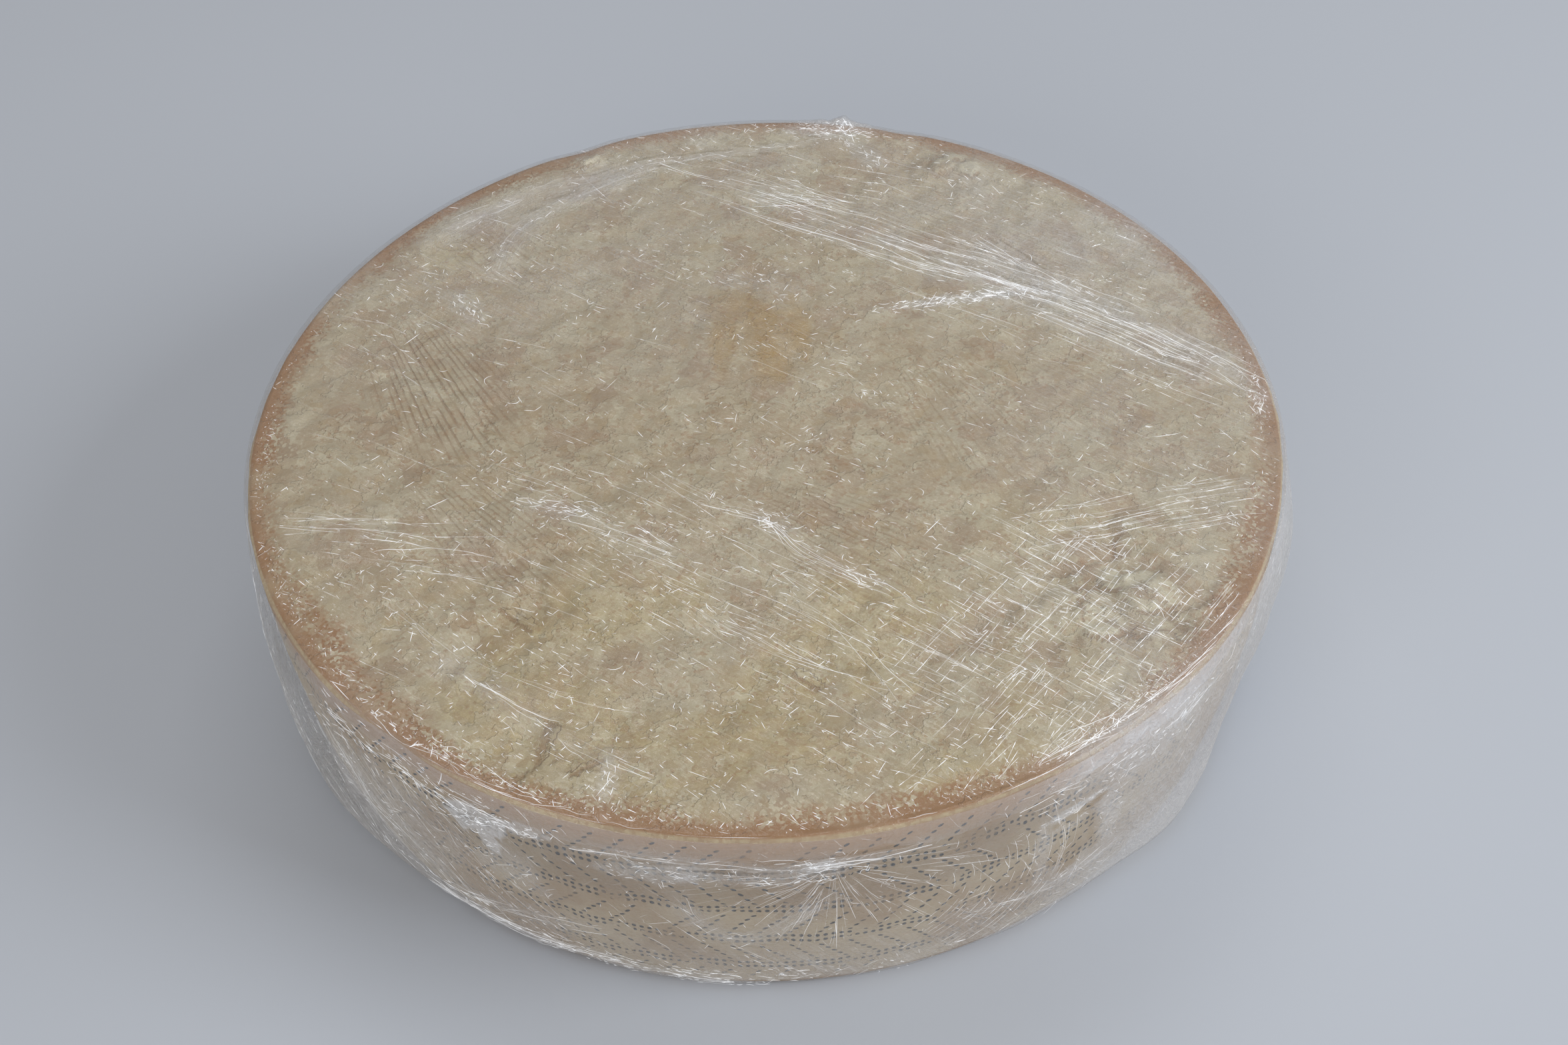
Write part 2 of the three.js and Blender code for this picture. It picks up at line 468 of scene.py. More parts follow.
class Value:
    """A number that a material works out over a surface, with the usual arithmetic."""

    def __init__(self, graph: Graph, socket: bpy.types.NodeSocket) -> None:
        """Wraps a socket of the graph."""
        self.graph, self.socket = graph, socket

    def _maths(self, operation: str, *others: Any, clamp: bool = False) -> Value:
        """Add a Math node for an operation on this value and the others."""
        return self.graph.maths(operation, self, *others, clamp=clamp)

    def __add__(self, other: Any) -> Value:
        """self + other"""
        return self._maths("ADD", other)

    __radd__ = __add__

    def __sub__(self, other: Any) -> Value:
        """self - other"""
        return self._maths("SUBTRACT", other)

    def __rsub__(self, other: Any) -> Value:
        """other - self"""
        return self.graph.maths("SUBTRACT", other, self)

    def __mul__(self, other: Any) -> Value:
        """self * other"""
        return self._maths("MULTIPLY", other)

    __rmul__ = __mul__

    def __truediv__(self, other: Any) -> Value:
        """self / other"""
        return self._maths("DIVIDE", other)

    def __pow__(self, other: Any) -> Value:
        """self ** other"""
        return self._maths("POWER", other)

    def __abs__(self) -> Value:
        """abs(self)"""
        return self._maths("ABSOLUTE")

    def least(self, other: Any) -> Value:
        """The smaller of the two."""
        return self._maths("MINIMUM", other)

    def most(self, other: Any) -> Value:
        """The larger of the two."""
        return self._maths("MAXIMUM", other)

    def clamped(self) -> Value:
        """The value held between 0 and 1."""
        return self._maths("ADD", 0.0, clamp=True)

    def ease(self, low: float, high: float) -> Value:
        """Smooth step from 0 at low to 1 at high; falling where low is above high."""
        falling = low > high
        node = self.graph.node(
            "ShaderNodeMapRange",
            {"interpolation_type": "SMOOTHSTEP"},
            {"Value": self, "From Min": min(low, high), "From Max": max(low, high),
             "To Min": float(falling), "To Max": float(not falling)},
        )
        return Value(self.graph, node.outputs["Result"])


class Graph:
    """The nodes of one material."""

    def __init__(self, name: str) -> None:
        """Starts an empty material."""
        self.material = bpy.data.materials.new(name)
        self.material.use_nodes = True
        self.tree = self.material.node_tree
        self.tree.nodes.clear()

    def node(self, kind: str, settings: dict[str, Any] | None = None,
             sockets: dict[Any, Any] | None = None) -> bpy.types.Node:
        """Add a node.

        Args:
            kind: the node's type.
            settings: its properties, set first.
            sockets: values or links for its inputs, by name or number.

        Returns:
            The new node.
        """
        node = self.tree.nodes.new(kind)
        for key, setting in (settings or {}).items():
            setattr(node, key, setting)
        for key, value in (sockets or {}).items():
            socket = node.inputs[key]
            value = value.socket if isinstance(value, Value) else value
            if isinstance(value, bpy.types.NodeSocket):
                self.tree.links.new(value, socket)
            elif socket.type == "RGBA" and len(value) == 3:
                socket.default_value = (*value, 1)
            else:
                socket.default_value = value
        return node

    def maths(self, operation: str, *terms: Any, clamp: bool = False) -> Value:
        """Add a Math node for an operation on numbers or values."""
        sockets = dict(enumerate(terms))
        node = self.node("ShaderNodeMath", {"operation": operation, "use_clamp": clamp}, sockets)
        return Value(self, node.outputs[0])

    def vector(self, operation: str, *terms: Any) -> bpy.types.Node:
        """Add a Vector Math node."""
        return self.node("ShaderNodeVectorMath", {"operation": operation}, dict(enumerate(terms)))

    def place(self) -> bpy.types.NodeSocket:
        """Where the surface is on the object, in millimetres."""
        at = self.node("ShaderNodeTexCoord").outputs["Object"]
        node = self.vector("SCALE", at)
        node.inputs["Scale"].default_value = 1 / MM
        return node.outputs[0]

    def split(self, vector: bpy.types.NodeSocket) -> tuple[Value, Value, Value]:
        """The three parts of a vector."""
        outputs = self.node("ShaderNodeSeparateXYZ", sockets={0: vector}).outputs
        return tuple(Value(self, output) for output in outputs)

    def join(self, x: Any, y: Any, z: Any = 0.0) -> bpy.types.NodeSocket:
        """A vector from three parts."""
        return self.node("ShaderNodeCombineXYZ", sockets={0: x, 1: y, 2: z}).outputs[0]

    def painted(self, name: str) -> Value:
        """The number stored under a name for each point of the piece."""
        return Value(self, self.node("ShaderNodeAttribute", {"attribute_name": name}).outputs["Fac"])

    def painted_vector(self, name: str) -> tuple[Value, Value, Value]:
        """The three numbers stored under a name for each point of the piece."""
        return self.split(self.node("ShaderNodeAttribute", {"attribute_name": name}).outputs["Vector"])

    def noise(self, at: Any, size: float, detail: float = 2.0, roughness: float = 0.5,
              distortion: float = 0.0) -> Value:
        """Cloudy noise from 0 to 1.

        Args:
            at: where to read it, in millimetres.
            size: the size of its blotches, in millimetres.
            detail: how many finer layers it has.
            roughness: how strong those are.
            distortion: how far it is stirred.

        Returns:
            The noise.
        """
        sockets = {"Vector": at, "Scale": 1 / size, "Detail": detail,
                   "Roughness": roughness, "Distortion": distortion}
        return Value(self, self.node("ShaderNodeTexNoise", None, sockets).outputs[0])

    def cell_values(self, at: Any, size: float) -> Value:
        """A random number from 0 to 1 for each cell of about a size."""
        node = self.node("ShaderNodeTexVoronoi", {"voronoi_dimensions": "2D"},
                         {"Vector": at, "Scale": 1 / size})
        return Value(self, self.node("ShaderNodeSeparateColor", None,
                                     {0: node.outputs["Color"]}).outputs[0])

    def stir(self, at: Any, size: float, reach: float) -> bpy.types.NodeSocket:
        """A place moved about by noise.

        Args:
            at: the place, in millimetres.
            size: the size of the swirls.
            reach: how far they move it.

        Returns:
            The moved place.
        """
        noise = self.node("ShaderNodeTexNoise", None, {"Vector": at, "Scale": 1 / size, "Detail": 2.0})
        centred = self.vector("SUBTRACT", noise.outputs["Color"], (0.5, 0.5, 0.5))
        scaled = self.vector("SCALE", centred.outputs[0])
        scaled.inputs["Scale"].default_value = reach
        return self.vector("ADD", at, scaled.outputs[0]).outputs[0]

    def blend(self, share: Any, low: Any, high: Any) -> bpy.types.NodeSocket:
        """Mix two colours: low at share 0 and high at share 1."""
        node = self.node("ShaderNodeMix", {"data_type": "RGBA"}, {0: share, 6: low, 7: high})
        return node.outputs[2]

    def bump(self, height: Value, distance: float, strength: float = 1.0) -> bpy.types.NodeSocket:
        """A normal bent by a height: distance is in millimetres for a height of 1."""
        sockets = {"Height": height, "Distance": distance * MM, "Strength": strength}
        return self.node("ShaderNodeBump", None, sockets).outputs[0]

    def clear(self) -> bpy.types.NodeSocket:
        """A shader that lets everything through."""
        return self.node("ShaderNodeBsdfTransparent", None, {"Color": WHITE}).outputs[0]

    def mix(self, share: Any, low: bpy.types.NodeSocket, high: bpy.types.NodeSocket) -> bpy.types.NodeSocket:
        """Mix two shaders: low at share 0 and high at share 1."""
        return self.node("ShaderNodeMixShader", None, {0: share, 1: low, 2: high}).outputs[0]

    def matt(self, colour: Any, **others: Any) -> bpy.types.NodeSocket:
        """A shader for a plain surface, with other inputs by name, words parted by underscores."""
        sockets = {"Base Color": colour}
        for name, value in others.items():
            sockets[name.replace("_", " ").title().replace("Ior", "IOR")] = value
        return self.node("ShaderNodeBsdfPrincipled", None, sockets).outputs[0]

    def finish(self, shader: bpy.types.NodeSocket) -> bpy.types.Material:
        """Lead a shader to the surface."""
        self.node("ShaderNodeOutputMaterial", None, {"Surface": shader})
        return self.material


# ------------------------------------------------------------------ finishes


@dataclass(frozen=True)
class CheeseFinish:
    """Broken paste on the face, the dried band inside the rim, and the dotted rind round the side, with
    painted shade in cracks, grooves, pits and at the foot, and a painted highlight along the rim edge.
    """

    pale: tuple[float, ...] = linear(184, 174, 150)
    straw: tuple[float, ...] = linear(168, 149, 122)
    mauve: tuple[float, ...] = linear(162, 140, 118)
    yellow: tuple[float, ...] = linear(184, 167, 122)
    ochre: tuple[float, ...] = linear(168, 138, 80)
    crumb: tuple[float, ...] = linear(202, 195, 170)
    # Painted shade in cracks, grooves, pits and along the foot.
    crack_shade: tuple[float, ...] = linear(134, 98, 58)
    band: tuple[float, ...] = linear(154, 114, 74)
    # Painted highlight along the rim edge, where the film over the arris catches the light.
    rim_highlight: tuple[float, ...] = linear(206, 196, 162)
    rind: tuple[float, ...] = linear(160, 142, 118)
    rind_warm: tuple[float, ...] = linear(166, 137, 109)
    rind_pale: tuple[float, ...] = linear(176, 162, 138)
    rind_darkened: tuple[float, ...] = linear(122, 106, 88)
    dot: tuple[float, ...] = linear(58, 62, 66)
    groove_gap: float = 2.8
    row_height: float = 23.0
    dots_round: int = 436
    strokes_round: int = 117
    roughness: float = 0.62
    specular: float = 0.3
    relief: float = 0.8

    def paste(self, g: Graph, at: Any) -> tuple[Any, Value, Value]:
        """Colour and relief of the broken paste, with painted shade in its pits, grooves and cracks.

        Args:
            g: the material's graph.
            at: where the surface is, in millimetres.

        Returns:
            The colour, a height from about 0 to 1 for the bump, and the finest flakes.
        """
        grains = g.noise(at, 2.6, 3, 0.7)
        torn = g.noise(at, 17, 4, 0.66)
        chip = g.cell_values(g.stir(at, 5, 2.6), 3.8)
        plate = g.cell_values(g.stir(at, 9, 13), 15)
        flake = torn.ease(0.515, 0.535)
        paleness = (g.painted("tone") * 0.6 + plate * 0.6 - 0.1).clamped()
        colour = g.blend(paleness, self.straw, self.pale)
        colour = g.blend(plate.ease(0.30, 0.22) * 0.4, colour, self.mauve)
        colour = g.blend(g.painted("yellow") * (0.4 + chip * 0.6), colour, self.yellow)
        colour = g.blend(flake * (0.14 + chip * 0.26), colour, self.crumb)
        colour = g.blend(g.painted("chunk") * (0.6 + chip * 0.3), colour, self.crumb)
        colour = g.blend(chip.ease(0.84, 0.90) * 0.3, colour, self.crumb)
        stained = g.painted("ochre") * (0.45 + grains * 0.5 + chip * 0.5).clamped()
        colour = g.blend(stained, colour, self.ochre)
        colour = g.blend(chip.ease(0.20, 0.05) * 0.22, colour, self.ochre)
        # Painted shade in small pits of the paste.
        colour = g.blend(grains.ease(0.40, 0.30) * 0.26, colour, self.crack_shade)
        colour = g.blend(grains.ease(0.60, 0.72) * 0.24, colour, self.crumb)
        across, along, near = g.painted_vector("groove")
        across = across + (g.noise(g.join(along / 90, across / 9), 1.0, 1) - 0.5) * 3.0
        row = g.maths("FLOOR", across / self.groove_gap)
        beside = abs(across / self.groove_gap - row - 0.5) * self.groove_gap
        seen = g.noise(g.join(along / 26, row * 3.7), 1.0, 1).ease(0.36, 0.52)
        grooves = near * beside.ease(0.7, 0.15) * seen
        # Painted shade in the dragged groove lines.
        colour = g.blend(grooves * 0.5, colour, self.crack_shade)
        away, shown, _ = g.painted_vector("crack_shade")
        cracks = abs(away + (grains - 0.5) * 4.5).ease(1.5, 0.2) * shown.ease(0.1, 0.7)
        # Painted shade in the cracks, along the ledges of torn flakes and below the near edge of loose
        # chunks.
        colour = g.blend(cracks * 0.55, colour, self.crack_shade)
        relief = grains * 0.5 + chip * 0.22 + flake * 0.35
        return colour, relief - grooves * 0.3 - cracks * 0.5, chip

    def dots(self, g: Graph, arc: Value, z: Value, around: float) -> Value:
        """Generic dotted strokes pricked into the rind: leaning rows between dotted bands.

        Args:
            g: the material's graph.
            arc: distance round the side, in millimetres.
            z: height, in millimetres.
            around: the whole way round, in millimetres.

        Returns:
            1 on a dot and 0 between dots.
        """
        row_height, pitch, stroke = self.row_height, around / self.dots_round, around / self.strokes_round
        closing = abs(arc).ease(around / 2, around / 2 - 40)
        z = z + 6.0 + (g.noise(g.join(arc, z), 22, 1) - 0.5) * closing * 6.0
        row = g.maths("FLOOR", z / row_height)
        lean = g.maths("PINGPONG", row, 1.0) * 2 - 1
        local = z - row * row_height
        slide = arc + local * lean * 0.8
        column = g.maths("FLOOR", slide / stroke)
        near_line = abs(slide - (column + 0.5) * stroke)
        along = abs(g.maths("WRAP", local, pitch, 0.0) - pitch / 2)
        strokes = (near_line**2 + (along * 1.05)**2).ease(0.95, 0.4) * local.ease(7.0, 8.0)
        gap = g.cell_values(g.join(column * 9, row * 9), 9.0)
        strokes = strokes * local.ease(22.5, 21.7) * gap.ease(0.12, 0.2)
        band = abs(g.maths("WRAP", arc, pitch, 0.0) - pitch / 2)
        level = abs(abs(local - 3.4) - 1.7)
        missed = g.cell_values(g.join(arc, local), 2.6).ease(0.25, 0.35)
        bands = (band**2 + (level * 0.9)**2).ease(1.0, 0.45) * missed
        return strokes.most(bands)

    def material(self, form: WheelForm) -> bpy.types.Material:
        """Build the finish. It reads the numbers and vectors that the cheese is painted with."""
        g = Graph("cheese")
        at = g.place()
        x, y, z = g.split(at)
        colour, relief, chip = self.paste(g, at)

        dried, worn, side = (g.painted(name) for name in ("dried", "worn", "side"))
        specks = g.cell_values(at, 1.3)
        depth = form.radius - g.maths("SQRT", x * x + y * y)
        dried = dried + (specks * 0.7 + chip * 0.3 - 0.5) * depth.ease(3, 9)
        colour = g.blend(dried.ease(0.05, 0.85) * 0.95, colour, self.band)
        crumbs = (specks * 0.8 + chip * 0.2).ease(0.64, 0.74) * depth.ease(2.0, 9.0) * depth.ease(30, 12)
        colour = g.blend(crumbs * (0.25 + worn * 0.5), colour, self.crumb)

        arc = g.maths("ARCTAN2", y, x) * form.radius
        grain = g.noise(g.join(arc * 0.5, z * 3), 2.2, 3, 0.7)
        rind = g.blend(worn, self.rind, self.rind_pale)
        # A darker patch of rind on the near side, about 265 degrees round and 86 mm up.
        rind = g.blend(g.painted("darkened") * 0.42, rind, self.rind_darkened)
        warm = (z.ease(92, 108) * 0.8 + grain.ease(0.54, 0.34) * 0.35).clamped()
        rind = g.blend(warm, rind, self.rind_warm)
        dots = self.dots(g, arc, z, form.around) * (0.55 + worn.ease(0.0, 0.3) * 0.45)
        dots = dots * z.ease(7, 11) * z.ease(110, 108)
        rind = g.blend(dots * 0.95, rind, self.dot)
        # Painted contact shadow: the rind darkened towards the foot.
        rind = g.blend(z.ease(6.5, 2.0) * 0.8, rind, self.crack_shade)
        colour = g.blend(side, colour, rind)
        # Painted highlight: a thin pale line along the rim edge.
        edge = depth.ease(1.6, 1.0) * z.ease(110.0, 110.7) * (0.2 + specks * 0.35)
        colour = g.blend(edge, colour, self.rim_highlight)

        height = relief * (1 - side) + (grain * 0.3 - dots * 0.5) * side
        return g.finish(g.matt(colour, roughness=self.roughness, normal=g.bump(height, self.relief),
                               specular_ior_level=self.specular))


@dataclass(frozen=True)
class FilmFinish:
    """Clear stretch film: fine creases, a sheen at a slant, and white haze where it is bunched."""

    white: tuple[float, ...] = linear(228, 229, 232)
    crease_depth: float = 0.3
    sheen: float = 1.5
    most_sheen: float = 0.14
    roughness: float = 0.14
    haze_roughness: float = 0.36
    let_through: float = 0.35

    def material(self) -> bpy.types.Material:
        """Build the finish.

        It reads haze, from 0 to 1, and pull: the distances along and across the fibres, in
        millimetres, and how clearly they show.

        Returns:
            The material.
        """
        g = Graph("clear_film")
        at = g.place()
        haze = g.painted("haze")
        along, across, clean = g.painted_vector("pull")

        fibres = (g.noise(g.join(along / 26, across / 1.3), 1.0, 3, 0.7, 0.2) - 0.5) * clean + 0.5
        crumple = g.noise(at, 4.2, 2, 0.6, 0.5)
        pulled = abs(fibres - 0.5).ease(0.09, 0.0) * clean
        creased = abs(crumple - 0.5).ease(0.09, 0.0)
        normal = g.bump(pulled * 0.5 + creased * 0.6 + crumple * 0.8, self.crease_depth)

        gloss = g.node("ShaderNodeBsdfAnisotropic", None,
                       {"Color": WHITE, "Roughness": self.roughness, "Normal": normal})
        fresnel = g.node("ShaderNodeFresnel", None, {"IOR": 1.5, "Normal": normal})
        share = (Value(g, fresnel.outputs[0]) * self.sheen).least(self.most_sheen)
        film = g.mix(share, g.clear(), gloss.outputs[0])
        cloud = (haze * (0.7 + fibres.ease(0.40, 0.64) * 0.42 + creased * 0.3)).clamped()
        front = g.matt(self.white, roughness=self.haze_roughness, normal=normal)
        through = g.node("ShaderNodeBsdfTranslucent", None, {"Color": self.white})
        return g.finish(g.mix(cloud, film, g.mix(self.let_through, front, through.outputs[0])))


@dataclass(frozen=True)
class GlintFinish:
    """Sharp little creases of film, doubled over: whitish like doubled film, with a painted glow for the
    glints they catch.
    """

    colour: tuple[float, ...] = linear(248, 251, 255)
    roughness: float = 0.25
    # How strongly the creases glow: a painted highlight.
    gleam: float = 0.32

    def material(self) -> bpy.types.Material:
        """Build the finish. It reads shine, from 0 where a crease can't be seen to 1 for the brightest
        painted glint.
        """
        g = Graph("film_crease_glints")
        shine = g.painted("shine")
        # The emission is a painted glow that makes the creases as bright as highlights.
        crease = g.matt(self.colour, roughness=self.roughness, emission_color=self.colour,
                        emission_strength=self.gleam)
        return g.finish(g.mix(shine.clamped(), g.clear(), crease))


# ------------------------------------------------------------------ cheese


@dataclass(frozen=True)
class GrooveFan:
    """Fine lines dragged in the paste: where, along which angle, how far, and how they spread."""

    x: float
    y: float
    angle: float
    long: float
    wide: float
    strength: float = 1.0
    spread: float = 0.006


@dataclass
class Cheese:
    """The half wheel itself: broken face, rim, barrelled side and flat foot."""

    form: WheelForm
    cells: int = 260
    side_rows: int = 20
    edge_rows: int = 3
    foot_rings: tuple[float, ...] = (150.0, 60.0)
    clearance: float = 0.5
    dried: tuple[tuple[float, ...], ...] = (
        (0, 0.8, 11), (20, 0.95, 13), (38, 0.95, 13), (55, 0.75, 9), (75, 0.9, 8), (95, 1.0, 9.5),
        (120, 1.0, 9), (140, 0.9, 10), (152, 0.6, 11), (165, 0.9, 12), (180, 0.95, 11), (200, 0.8, 10),
        (213, 1.0, 17), (228, 1.0, 17), (238, 0.85, 10), (248, 0.95, 11), (262, 1.0, 12), (288, 0.95, 12),
        (303, 0.5, 8), (315, 0.7, 11), (326, 1.0, 15), (338, 0.95, 15), (350, 0.7, 11),
    )
    grooves: tuple[GrooveFan, ...] = (
        GrooveFan(-138, 28, -64, 66, 36), GrooveFan(82, -2, -66, 66, 36, 0.4),
        GrooveFan(140, 8, -46, 50, 30, 0.35), GrooveFan(-118, 118, -50, 40, 26, 0.6),
        GrooveFan(30, -72, -38, 60, 36, 0.6), GrooveFan(-112, -60, -52, 60, 34, 0.7),
        GrooveFan(60, 130, -36, 70, 34, 0.5),
    )
    cracks: tuple[tuple[float, ...], ...] = (
        (117, -102, 130, -98, 1.6), (150, -109, 157, -124, 1.8), (-82, -157, -87, -177, 2.2),
        (-87, -177, -97, -187, 1.8), (-62, -176, -74, -183, 1.2), (8, -138, 18, -146, 1.0),
        (128, -118, 140, -128, 1.2), (-104, -100, -92, -112, 1.0), (-78, 188, -92, 183, 1.2),
    )
    chunks: tuple[tuple[float, ...], ...] = (
        (-81, 190, 7.5, 2.6), (88, 172, 7.5, 2.2), (100, 168, 6.5, 2.0), (94, 179, 5.5, 2.0),
        (146, -103, 12, 2.0), (126, -118, 10, 1.8), (134, -96, 7, 1.6),
    )
    yellowed: tuple[tuple[float, ...], ...] = (
        (-140, 115, 14, 0.45), (30, -118, 22, 0.3), (-92, -116, 24, 0.3), (104, -60, 18, 0.25),
        (60, -186, 16, 0.25),
    )
    stain_at: tuple[float, float] = (1.0, 57.0)
    darkened_angle: float = 265.0
    darkened_height: float = 86.0

    def profile(self) -> list[tuple[float, float]]:
        """Radius and height of each row below the face, down the side and in under the foot."""
        form = self.form
        top = form.height - form.chamfer
        heights = np.linspace(top, form.foot_edge, self.side_rows + 1)
        rows = [(float(form.side_radius(h)), float(h)) for h in heights]
        edge = float(form.side_radius(form.foot_edge))
        for step in range(1, self.edge_rows + 1):
            turn = step / self.edge_rows * math.pi / 2
            inset = form.foot_edge * (1 - math.cos(turn))
            rise = form.foot_edge * (1 - math.sin(turn))
            rows.append((edge - inset, max(rise, self.clearance)))
        return rows + [(ring, self.clearance) for ring in self.foot_rings]

    def roughness(self, x: np.ndarray, y: np.ndarray) -> np.ndarray:
        """How rough the paste is torn: 1 on the plain face and more in the crags."""
        return 1 + sum(
            (c.rough - 1) * bell(np.hypot(x - c.x, y - c.y), c.reach) for c in self.form.crags
        )

    @staticmethod
    def terraces(x: np.ndarray, y: np.ndarray) -> np.ndarray:
        """The noise whose edges are the ledges of the torn flakes, about 0.15 for a millimetre."""
        return smooth_noise(x * 0.8, y, 13, 17) + 0.4 * smooth_noise(x, y, 6, 19)

    def chunk(self, x: np.ndarray, y: np.ndarray) -> np.ndarray:
        """Height of the loose pale chunks that lie on the face."""
        ragged = 2.2 * smooth_noise(x, y, 6, 163)
        return sum(
            high * smooth(reach + ragged - np.hypot(x - cx, y - cy), 0, 2.4)
            for cx, cy, reach, high in self.chunks
        )

    def detail(self, x: np.ndarray, y: np.ndarray) -> np.ndarray:
        """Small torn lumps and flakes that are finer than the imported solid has."""
        torn = smooth(self.form.radius - np.hypot(x, y), 5.0, 14.0)
        rough = self.roughness(x, y)
        small = 0.45 * (lump_noise(x, y, 5.2, 13) - 0.6)
        flakes = 0.85 * (rough - 0.8) * smooth(self.terraces(x, y), 0.06, 0.18)
        return torn * (small * rough + flakes + self.chunk(x, y))

    def build(self) -> bpy.types.Object:
        """Model the half wheel."""
        profile = self.profile()
        piece = Workbench.disc("cheese", self.cells, len(profile))
        with Workbench.editing(piece, "EDGE"):
            bpy.ops.mesh.region_to_loop()
            bpy.ops.mesh.edge_face_add()
        self.shape(piece, profile)
        Workbench.face_out(piece)
        return piece

    def shape(self, piece: bpy.types.Object, profile: Sequence[tuple[float, float]]) -> None:
        """Move the blocked-out points onto the form.

        Args:
            piece: the blocked-out piece.
            profile: radius and height of each row below the face.
        """
        form = self.form
        flat = Workbench.points(piece) * MM
        x, y, drop = flat[:, 0], flat[:, 1], -flat[:, 2]
        share, turn = np.hypot(x, y), np.arctan2(y, x)
        degrees = np.degrees(turn)
        row = np.rint(drop).astype(int)
        table = np.array([(form.radius - form.chamfer, form.height), *profile])
        radius, height = table[row, 0].copy(), table[row, 1].copy()
        on_face = row == 0
        chips = form.chip_depth(degrees, height)
        radius -= np.where(on_face, form.chip_depth(degrees, form.height) * share**8, chips)
        arc = degrees / 360 * form.around
        wavy = 0.5 * smooth_noise(arc, height, 31, 23) + 0.25 * smooth_noise(arc, height, 9, 29)
        radius += np.where(on_face | (height < form.foot_edge + 0.01), 0, wavy - 0.35)
        radius *= share
        x, y = radius * np.cos(turn), radius * np.sin(turn)
        lifted = form.face_height(x, y) + self.detail(x, y)
        height = np.where(on_face, lifted, height)
        Workbench.place(piece, np.column_stack([x, y, height]))

    def dried_band(self, x: np.ndarray, y: np.ndarray) -> np.ndarray:
        """The dried band inside the rim: its strength and width by angle, with a ragged inner edge."""
        inset, degrees = self.form.radius - np.hypot(x, y), np.mod(np.degrees(np.arctan2(y, x)), 360)
        at, strength, wide = zip(*self.dried)
        strength, wide = (np.interp(degrees, at, q, period=360) for q in (strength, wide))
        wide = wide + 3 * smooth_noise(x, y, 30, 101) + 2.4 * clouds(x, y, 12, 103, 3)
        broken = np.clip(0.85 + 0.3 * clouds(x, y, 30, 173, 3), 0.3, 1.1)
        return strength * broken * smooth(wide - inset, -6, 6)

    def groove_fans(self, x: np.ndarray, y: np.ndarray) -> np.ndarray:
        """Where the blade dragged fine lines: distance across them, along them, and how strong they are."""
        best = np.zeros((len(x), 3))
        for fan in self.grooves:
            u, v = turned(x - fan.x, y - fan.y, -math.radians(fan.angle))
            near = smooth(1 - np.hypot(u / fan.long, v / fan.wide), 0, 0.6)
            led = near > best[:, 2]
            best[led] = np.column_stack([v / (1 + u * fan.spread), u, near * fan.strength])[led]
        return best

    def crack_shade_lines(self, x: np.ndarray, y: np.ndarray) -> np.ndarray:
        """How far each place is to the side of the nearest crack, and 1 where it runs past there, for
        painted shade in cracks, along flake ledges and as a painted shadow below the near edge of loose
        chunks.
        """
        best, nearest = np.zeros((len(x), 3)), np.full(len(x), 6.0)
        best[:, 0] = 9
        for ax, ay, bx, by, wide in self.cracks:
            dx, dy = bx - ax, by - ay
            size = math.hypot(dx, dy)
            share = ((x - ax) * dx + (y - ay) * dy) / size**2
            side = ((y - ay) * dx - (x - ax) * dy) / size
            away = np.abs(side) + size * np.maximum(0, np.abs(share - 0.5) - 0.5)
            led = away < nearest
            nearest = np.where(led, away, nearest)
            ends = smooth(share, -0.15, 0.1) * smooth(share, 1.15, 0.9)
            best[led] = np.column_stack([side / wide, ends, ends])[led]
        # Painted shade along the ledges of the torn flakes in the crags.
        ledge = (self.terraces(x, y) - 0.12) / 0.15
        led = np.abs(ledge) < nearest
        deep = smooth(self.roughness(x, y), 1.4, 2.3) * smooth(clouds(x, y, 18, 167, 2), -0.1, 0.4)
        best[led] = np.column_stack([ledge, deep, deep])[led]
        # Painted shadow just outside the near edge of each loose chunk.
        under = self.chunk(x, y + 1.6) - self.chunk(x, y)
        led = (under > 0.4) & (self.chunk(x, y) < 1.0)
        best[led] = np.column_stack([0 * under, smooth(under, 0.3, 1.0), under])[led]
        return best

    def paint(self, piece: bpy.types.Object) -> None:
        """Paint the large patterns of the paste and the rind on the mesh."""
        points = Workbench.points(piece)
        x, y, z = points.T
        side = (z < self.form.face_height(x, y) - 0.8) & (np.hypot(x, y) > self.form.foot_radius - 40)
        arc = np.arctan2(y, x) * self.form.radius
        Workbench.paint(piece, "side", side.astype(float))
        tone = 0.5 * clouds(x, y, 22, 107) + 0.3 * clouds(x, y, 90, 109, 2) + self.chunk(x, y)
        # Paler towards the right and darker towards the near side.
        tone = tone + 0.12 * smooth(x, -60, 160) - 0.15 * smooth(-y, 0, 120)
        Workbench.paint(piece, "tone", smooth(tone, -0.9, 0.9))
        Workbench.paint(piece, "chunk", smooth(self.chunk(x, y), 0.3, 1.3))
        stain = np.hypot(x - self.stain_at[0], (y - self.stain_at[1]) * 0.8)
        stain = stain + 13 * clouds(x * 1.8, y * 0.6, 16, 113)
        lower = smooth(-y, 35, 120) * smooth(clouds(x, y, 34, 127), -0.3, 0.5) * smooth(x, 150, 50)
        spots = sum(near * bell(np.hypot(x - sx, y - sy), reach) for sx, sy, reach, near in self.yellowed)
        Workbench.paint(piece, "ochre", smooth(-stain, -34, -6))
        Workbench.paint(piece, "yellow", np.clip(0.12 + 0.75 * lower + 1.8 * spots, 0, 0.9))
        Workbench.paint(piece, "dried", self.dried_band(x, y))
        around = clouds(arc, z, 32, 131) * self.form.closing(arc, 610.0, 0.0)
        worn = np.where(side, around, clouds(x, y, 24, 137))
